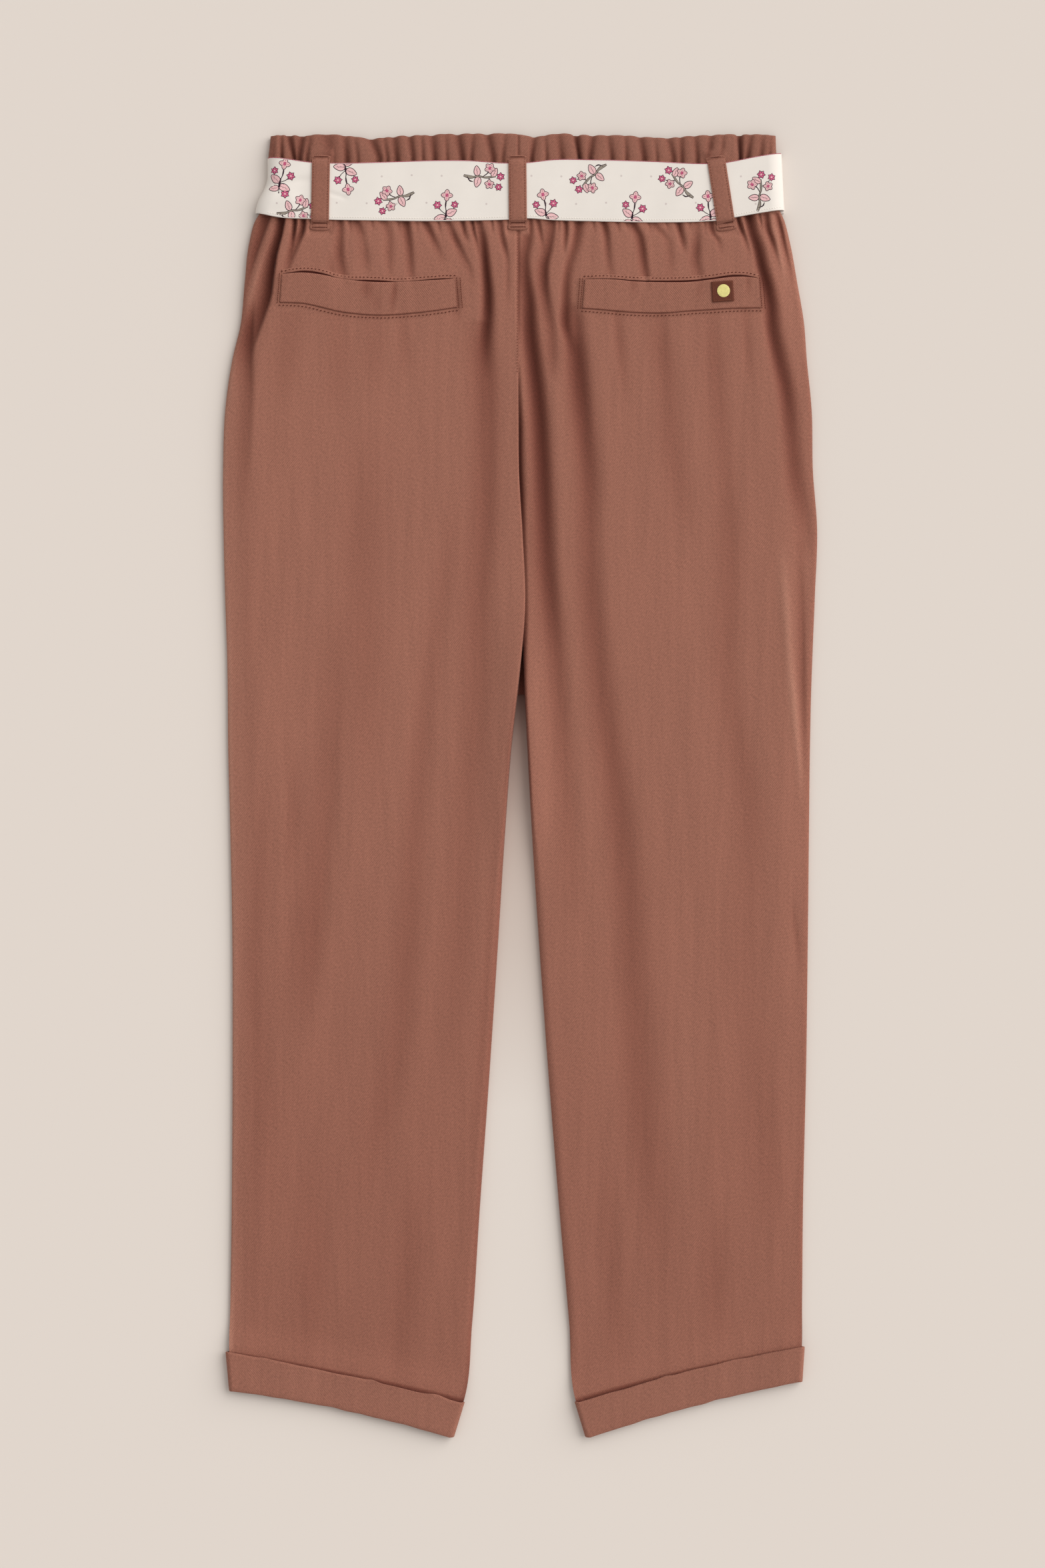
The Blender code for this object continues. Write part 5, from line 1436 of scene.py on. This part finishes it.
welt_twill = twill("terracotta welt twill", shade(TERRACOTTA, 0.95), rib_angle=-38, ribs_show=0.48)


def welt_column(side, x, column):
    return curve_of(WELT_POINTS[side], "x", column, x)


def over_back(side, x, drop, reach=2.0):
    """The highest that the back comes near each point."""
    near = [back_top(side, x + dx, drop + dy) for dx in (-reach, 0, reach) for dy in (-reach, 0, reach)]
    return np.max(near, axis=0)


def welt(side):
    share = steps((0, 0.08, 4), (0.08, 0.92, 12), (0.92, 1, 4))[:, None]
    points = WELT_POINTS[side]
    u = ends_closer(100, 0.5)[None, :]
    x = mix(points[0].x, points[-1].x, u) + 1.4 * share * (2 * u - 1)
    drop = welt_column(side, x, "drop") + share * welt_column(side, x, "depth")
    pressed = 0.4 * (1 - roll(np.minimum(share, 1 - share) * WELT_DEEP, 1.0))
    ends = 0.4 * (1 - roll(np.minimum(u, 1 - u) * WELT_LONG, 1.2))
    dents = sum(dent.depth * np.exp(-(((x - dent.x) / dent.reach) ** 2) - ((share - dent.down) / 0.28) ** 2)
                for dent in WELT_DENTS[side])
    high = over_back(side, x, drop, 1.4) + 0.1 + WELT_WALL - pressed - ends - 0.3 * dents
    # Painted shade in the dents, and a painted shadow line along the welt's lower edge.
    stitched = 2.4 * bell((1 - share) * WELT_DEEP, 0.45)
    piece = cloth(f"welt_{SIDES[side]}", x, drop, high, WELT_WALL, welt_twill, hollow=dents + stitched)
    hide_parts(f"pocket_welt_{SIDES[side]}")


for side in SIDES:
    welt(side)


# %% Mouths of the pockets
pocket_dark = solid_colour("pocket shadow", colour(62, 27, 21))


def pocket_mouth(side):
    points = WELT_POINTS[side]
    x = np.linspace(points[0].x + 1.0, points[-1].x - 1.0, 120)[None, :]
    top = welt_column(side, x, "drop")
    gape = np.maximum(LEAST_GAPE, welt_column(side, x, "gape"))
    drop = top + np.array([-1.0, -0.5, 0.0, 0.5])[:, None] * gape
    x = np.broadcast_to(x, drop.shape)
    high = over_back(side, x, drop, 1.0) + 0.15
    return cloth(f"pocket_mouth_{SIDES[side]}", x, drop, high, 0.2, pocket_dark)


def pocket_lip(side):
    """The seat's folded edge above the slit."""
    points = WELT_POINTS[side]
    x = np.linspace(points[0].x, points[-1].x, 120)[None, :]
    gape = np.maximum(LEAST_GAPE, welt_column(side, x, "gape"))
    reach = np.linspace(0, 1, 7)[:, None]
    drop = welt_column(side, x, "drop") - gape - 2.6 * (1 - reach)
    x = np.broadcast_to(x, drop.shape)
    inset = np.minimum(x - points[0].x, points[-1].x - x)
    rise = 0.45 * ease(0, 0.8, reach) * ease(0, 8, inset) - 0.2 * ease(0.85, 1, reach)
    high = over_back(side, x, drop, 1.0) + 0.02 + rise
    return cloth(f"pocket_lip_{SIDES[side]}", x, drop, high, 0.5, panel_twill)


mouths = [pocket_mouth(side) for side in SIDES] + [pocket_lip(side) for side in SIDES]


# %% Stitches round the pockets
POCKET_ENDS = {LEFT: ((-1.2,), (1.0, 3.0)), RIGHT: ((-2.6, -1.0), (0.6, 2.6))}


def pocket_stitches(side):
    points = WELT_POINTS[side]
    run = np.linspace(points[0].x - 1.0, points[-1].x + 1.0, 60)
    above = np.stack([run, welt_column(side, run, "drop") - 1.5 - welt_column(side, run, "gape")], axis=1)
    low = run + 1.4 * np.sign(run - run.mean())
    below = np.stack([low, welt_column(side, run, "drop") + welt_column(side, run, "depth") + 1.5], axis=1)
    ends = []
    for point, lean, offsets in zip((points[0], points[-1]), (-1.4, 1.4), POCKET_ENDS[side]):
        for x in [point.x + offset for offset in offsets]:
            ends.append([(x, point.drop - 0.6), (x + lean, point.drop + point.depth + 0.4)])

    def high(x, drop):
        return back_top(side, x, drop) + 0.35

    def welt_high(x, drop):
        return over_back(side, x, drop) + 0.9

    word = SIDES[side]
    stitches(f"pocket_stitches_{word}", [above, below], high, dark_thread, length=1.1, width=0.5)
    stitches(f"pocket_end_stitches_{word}", ends, welt_high, dark_thread, pitch=1.3, length=1.1, width=0.46)


for side in SIDES:
    pocket_stitches(side)
print("pocket pieces:", [piece.name for piece in mouths])

# %% Stitches of the seat seam
seat_seam = [np.array([(CENTRE_SEAM - 0.5, 59.0), (CENTRE_SEAM - 0.5, 140.0)])]
seam_thread = solid_colour("seam thread", colour(118, 68, 56), 0.8, 0.1)
stitches("seat_seam_stitches", seat_seam, lambda x, drop: back_top(LEFT, x, drop) + 0.02, seam_thread,
         pitch=1.7, length=0.8, width=0.32)

# %% [markdown]
# ## The cuffs
# Each leg is turned up once at the hem. The cuff goes all round the leg, so it is a flattened tube: its
# section down the leg goes from the free upper edge to the fold at the bottom and back up inside. Going
# round, it is a long flat loop with half-round ends. One grid that closes both ways makes it, like a
# squashed tyre.

# %% Cuffs
CuffCorners = namedtuple("CuffCorners", "outer_x outer_drop inner_x inner_drop")
CUFF_UPPER = {LEFT: CuffCorners(171.7, 710.2, 32.3, 739.4), RIGHT: CuffCorners(165.9, 707.2, 31.8, 739.2)}
CUFF_LOWER = {LEFT: CuffCorners(169.6, 732.8, 38.5, 759.6), RIGHT: CuffCorners(164.6, 727.4, 38.0, 759.6)}
BUMP_COLUMNS = "across rise reach"
CUFF_BUMPS = {
    LEFT: table_of(BUMP_COLUMNS, (0.62, 0.9, 0.025), (0.90, 1.2, 0.04), (0.15, 0.5, 0.03)),
    RIGHT: table_of(BUMP_COLUMNS, (0.61, 0.9, 0.03), (0.30, 0.5, 0.05), (0.80, -0.4, 0.05)),
}
CUFF_HIGH = 5.6
CUFF_STEPS = 120
CUFF_END_STEPS = 18
CUFF_WALL = 1.2
CUFF_BOW = {LEFT: 2.8, RIGHT: 2.2}


def cuff(side):
    """Rings round the leg, one for each step of the section: down outside, round the fold and up inside."""
    outside = [(share, 0.0) for share in np.linspace(0.0, 0.985, 16)]
    fold = [(1.0, 0.25), (1.0, 0.75)]
    inside = [(share, 1.0) for share in np.linspace(0.985, 0.0, 8)]
    free_edge = [(-0.012, 0.75), (-0.012, 0.25)]
    section = outside + fold + inside + free_edge
    lengthwise = np.array([step[0] for step in section])[:, None]
    inward = np.array([step[1] for step in section])[:, None]
    turn = np.pi * (np.arange(CUFF_END_STEPS) + 0.5) / CUFF_END_STEPS
    flat_run = np.linspace(0, 1, CUFF_STEPS)
    far_end, near_end = np.full(CUFF_END_STEPS, 1.0), np.full(CUFF_END_STEPS, 0.0)
    across = np.concatenate([flat_run, far_end, flat_run[::-1], near_end])[None, :]
    quarter = np.full(CUFF_STEPS, np.pi / 2)
    angle = np.concatenate([quarter, np.pi / 2 - turn, -quarter, turn[::-1] + np.pi / 2])[None, :]
    radius = CUFF_HIGH / 2 - CUFF_WALL * inward
    upper, lower = CUFF_UPPER[side], CUFF_LOWER[side]
    corners = [mix(upper[k], lower[k], lengthwise) for k in range(4)]
    start, end = corners[0] - CUFF_HIGH / 2, corners[2] + CUFF_HIGH / 2
    on_flat = np.abs(np.abs(angle) - np.pi / 2) < 1e-6
    away = np.where(angle > np.pi / 2 + 1e-6, 1.0, np.where(on_flat, 0.0, -1.0))
    sideways = np.abs(np.cos(angle)) * radius * away
    x = side * (mix(start, end, across) + sideways)
    bow = mix(HEM_BOW[side], CUFF_BOW[side], lengthwise)
    drop = mix(corners[1], corners[3], across) - bow * 4 * across * (1 - across)
    flatly = np.sin(np.pi * across)
    drop = drop + 0.28 * np.sin(across * 27 + side) * np.sin(across * 9 + 4 * lengthwise) * flatly
    drop = drop + 0.12 * np.sin(across * 55 + 2 * side) * lengthwise * flatly
    for bump in CUFF_BUMPS[side]:
        near = ((across - bump.across) / bump.reach) ** 2
        drop = drop - bump.rise * np.exp(-near - (lengthwise / 0.15) ** 2)
    free = np.exp(-lengthwise * 9) * (1 - inward) * np.clip(np.sin(angle), 0, 1)
    sway = 0.25 * np.sin(across * 9 + 1.0) * np.clip(np.sin(angle), 0, 1)
    z = CUFF_HIGH / 2 + np.sin(angle) * radius + 0.25 * free + sway * (1 - inward * 0.5)
    z = z - 0.35 * ease(0.9, 1.0, lengthwise) * np.sin(angle) * (1 - inward)
    rings, columns = x.shape
    index = np.arange(rings * columns).reshape(rings, columns)
    below, beside = np.roll(index, -1, axis=0), np.roll(index, -1, axis=1)
    quads = np.stack([index, below, np.roll(below, -1, axis=1), beside], axis=-1).reshape(-1, 4)
    if side == RIGHT:
        quads = quads[:, ::-1]
    places = np.stack([side * x, -drop], axis=-1).reshape(-1, 2)
    vertices = at(x, drop, z).reshape(-1, 3)
    piece = link_piece(f"cuff_{SIDES[side]}", vertices, quads, places, cuff_twill)
    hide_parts(f"cuff_back_{SIDES[side]}", f"cuff_front_{SIDES[side]}")
    return piece


cuff_twill = twill("terracotta cuff twill", shade(TERRACOTTA, 0.92))
cuffs = {side: cuff(side) for side in SIDES}
print("cuff faces:", len(cuffs[LEFT].data.polygons))

# %% [markdown]
# ## The tab
# A folded scrap of dark tape is caught in the welt of the right pocket. It carries a plain round dot of gold
# thread, laid round and round like a tiny embroidered button.

# %% Tab and its gold dot
TAB_SIZE = (12.6, 11.8)
TAB_CENTRE = (117.8, 92.8)
TAB_TILT = math.radians(-4.0)
DOT_RADIUS = 3.7


def tab_place(across, down):
    c, s = math.cos(TAB_TILT), math.sin(TAB_TILT)
    return TAB_CENTRE[0] + across * c - down * s, TAB_CENTRE[1] + across * s + down * c


tab_run = np.stack(np.meshgrid(np.linspace(110, 125.6, 14), np.linspace(87, 99, 12)))
tab_base = float(np.mean(over_back(RIGHT, *tab_run))) + 0.25 + WELT_WALL
tape_brown = twill("brown tape", colour(98, 56, 44), rib_pitch=0.7)
tape_thread = solid_colour("tape thread", colour(134, 84, 66), 0.7, 0.1)


def tab_top(x, drop):
    bend = over_back(RIGHT, x, drop) + 0.25 + WELT_WALL
    return np.maximum(bend, tab_base - 0.1) + 0.75


def label_tab():
    share = steps((0, 0.1, 3), (0.1, 0.9, 8), (0.9, 1, 3))[:, None]
    u = ends_closer(17, 0.5)[None, :]
    x, drop = tab_place(TAB_SIZE[0] * (u - 0.5), TAB_SIZE[1] * (share - 0.5))
    rounded = 0.22 * (2 - roll(np.minimum(u, 1 - u) * TAB_SIZE[0], 0.7)
                      - roll(np.minimum(share, 1 - share) * TAB_SIZE[1], 0.7))
    piece = cloth("tab_tape", x, drop, tab_top(x, drop) - rounded, 0.7, tape_brown)
    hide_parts("label_tab")


def tab_stitches():
    half_w, half_h = TAB_SIZE[0] / 2 - 0.8, TAB_SIZE[1] / 2 - 0.8
    corners = [(-half_w, -half_h), (half_w, -half_h), (half_w, half_h), (-half_w, half_h), (-half_w, -half_h)]
    rows = [[tab_place(*start), tab_place(*end)] for start, end in zip(corners, corners[1:])]
    stitches("tab_stitches", rows, tab_top, tape_thread, 1.0, 0.75, 0.22)


def gold_dot():
    """Thread wound in rings, as in an embroidered spot."""
    rings = np.concatenate([[0.02], np.linspace(0.08, 1.0, 26)])[:, None]
    lift = 0.34 + 0.05 * np.cos(rings * 2 * np.pi * 6) - 0.22 * rings ** 6
    turn = np.linspace(0, 2 * np.pi, 56, endpoint=False)[None, :]
    x, drop = tab_place(0.5 + DOT_RADIUS * rings * np.cos(turn), -0.3 + DOT_RADIUS * rings * np.sin(turn))
    z = tab_top(x, drop) + lift
    x, drop = (np.concatenate([grid, grid[-1:], grid[:1]]) for grid in (x, drop))
    z = np.concatenate([z, z[-1:] - 0.3, z[:1] - 0.5])
    rows, count = x.shape
    index = np.arange(rows * count).reshape(rows, count)
    beside = np.roll(index, -1, axis=1)
    quads = np.stack([index[:-1], index[1:], beside[1:], beside[:-1]], axis=-1).reshape(-1, 4)[:, ::-1]
    faces = quads.tolist() + [index[0][::-1].tolist(), index[-1].tolist()]
    places = np.stack([x, -drop], axis=-1).reshape(-1, 2)
    link_piece("tab_dot", at(x, drop, z).reshape(-1, 3), faces, places, gold_thread)


gold_thread = solid_colour("gold thread", colour(224, 213, 138), 0.5, 0.2, 60.0)
label_tab()
tab_stitches()
gold_dot()
print("tab lies", round(tab_base, 2), "mm up")

# %% [markdown]
# ## Floor, light and camera
# The trousers lie on a plain pale table. One broad soft light stands high at the upper right, so each fold
# shows a light side and a dark side and the shadows fall to the lower left, and a pale sky fills them.
# Little light gets down between the legs, least of all right under the crotch, so a short table of shades
# deepens the table top's colour there. The camera looks straight down through a long lens, which keeps the
# garment's proportions.

# %% Floor
GAP_SHADES = table_of(
    "drop red green blue",
    (220, 1.0, 1.0, 1.0), (280, 0.27, 0.16, 0.14), (327, 0.27, 0.16, 0.14), (352, 0.55, 0.43, 0.40),
    (400, 0.77, 0.69, 0.66), (473, 0.84, 0.79, 0.77), (570, 1.0, 1.0, 1.0),
)
GAP_HALF_WIDTH = (50, 80)
WHITE = (1.0, 1.0, 1.0, 1.0)


def shade_gap(nodes, pale):
    """Deepen the colour between the legs, most of all right under the crotch."""
    place = add(nodes, "ShaderNodeTexCoord").outputs["Object"]
    axes = add(nodes, "ShaderNodeSeparateXYZ", Vector=place)
    first, last = GAP_SHADES[0].drop, GAP_SHADES[-1].drop
    down = add(nodes, "ShaderNodeMapRange", Value=axes.outputs["Y"], From_Min=float(at(0, first, 0)[1]),
               From_Max=float(at(0, last, 0)[1]))
    ramp = add(nodes, "ShaderNodeValToRGB", Fac=down.outputs["Result"])
    stops = ramp.color_ramp.elements
    for row in GAP_SHADES:
        share = (row.drop - first) / (last - first)
        stop = stops[0] if share == 0 else stops[-1] if share == 1 else stops.new(share)
        stop.color = (row.red, row.green, row.blue, 1.0)
    under_legs = add(nodes, "ShaderNodeMapRange", Value=maths(nodes, "ABSOLUTE", axes.outputs["X"]),
                     From_Min=GAP_HALF_WIDTH[0] * MM, From_Max=GAP_HALF_WIDTH[1] * MM)
    kept = mix_colours(nodes, ramp.outputs["Color"], WHITE, "MIX", under_legs.outputs["Result"])
    return mix_colours(nodes, kept, pale)


TABLE_PALE = colour(224, 214, 205)
TABLE_SIZE = (6.0, 6.0, 0.03)


def floor():
    bpy.ops.mesh.primitive_cube_add(size=1.0, location=(0, 0, -0.0002 - TABLE_SIZE[2] / 2))
    table = bpy.context.object
    table.name = "table"
    for corner in table.data.vertices:
        corner.co = [side * size for side, size in zip(corner.co, TABLE_SIZE)]
    for name, shaded in (("pale table top", True), ("pale table", False)):
        made, nodes, shader = new_material(name)
        fill(shader, Base_Color=shade_gap(nodes, TABLE_PALE) if shaded else TABLE_PALE, Roughness=0.95,
             Specular_IOR_Level=0.1)
        table.data.materials.append(made)
    for face in table.data.polygons:
        face.material_index = 0 if face.normal.z > 0.5 else 1


floor()

# %% Light
KEY_TILT = math.radians(58)
KEY_SIDE = math.radians(30)
KEY_SHARE = 0.43
key = bpy.data.objects.new("studio light", bpy.data.lights.new("studio light", "SUN"))
key.data.energy = KEY_SHARE * math.pi / math.cos(KEY_TILT)
key.data.angle = math.radians(62)
key.data.color = (1.0, 0.99, 0.98)
aside = math.sin(KEY_TILT)
towards = Vector((aside * math.cos(KEY_SIDE), aside * math.sin(KEY_SIDE), math.cos(KEY_TILT)))
key.rotation_euler = (-towards).to_track_quat("-Z", "Y").to_euler()
bpy.context.scene.collection.objects.link(key)
world = bpy.data.worlds.new("pale room")
world.use_nodes = True
world.node_tree.nodes["Background"].inputs["Color"].default_value = (1.0, 0.985, 0.975, 1.0)
world.node_tree.nodes["Background"].inputs["Strength"].default_value = 1 - KEY_SHARE
bpy.context.scene.world = world
bpy.context.scene.view_settings.view_transform = "Standard"

# %% Camera
VIEW_HEIGHT = 912.8
VIEW_CENTRE = (1.4, 379.1)
LENS = 90.0
SENSOR = 36.0
camera = bpy.data.objects.new("camera", bpy.data.cameras.new("camera"))
camera.data.lens = LENS
camera.data.sensor_width = SENSOR
camera.data.clip_start = 0.1
distance = VIEW_HEIGHT * LENS / SENSOR
camera.location = at(VIEW_CENTRE[0], VIEW_CENTRE[1], distance + 5.0)
bpy.context.scene.collection.objects.link(camera)
bpy.context.scene.camera = camera
print("camera", round(distance), "mm up")

# %% [markdown]
# ## Finish
# The last cell lists the pieces whose names begin with belt_print, belt_edge_thread or belt_hem_stitches, as
# the ones that ride on the back of the belt.


def named(*starts):
    """The pieces whose names begin with one of these."""
    return [piece for piece in bpy.data.objects if piece.name.startswith(starts)]


on_belt = {"belt_cotton_back": named("belt_print", "belt_edge_thread", "belt_hem_stitches")}
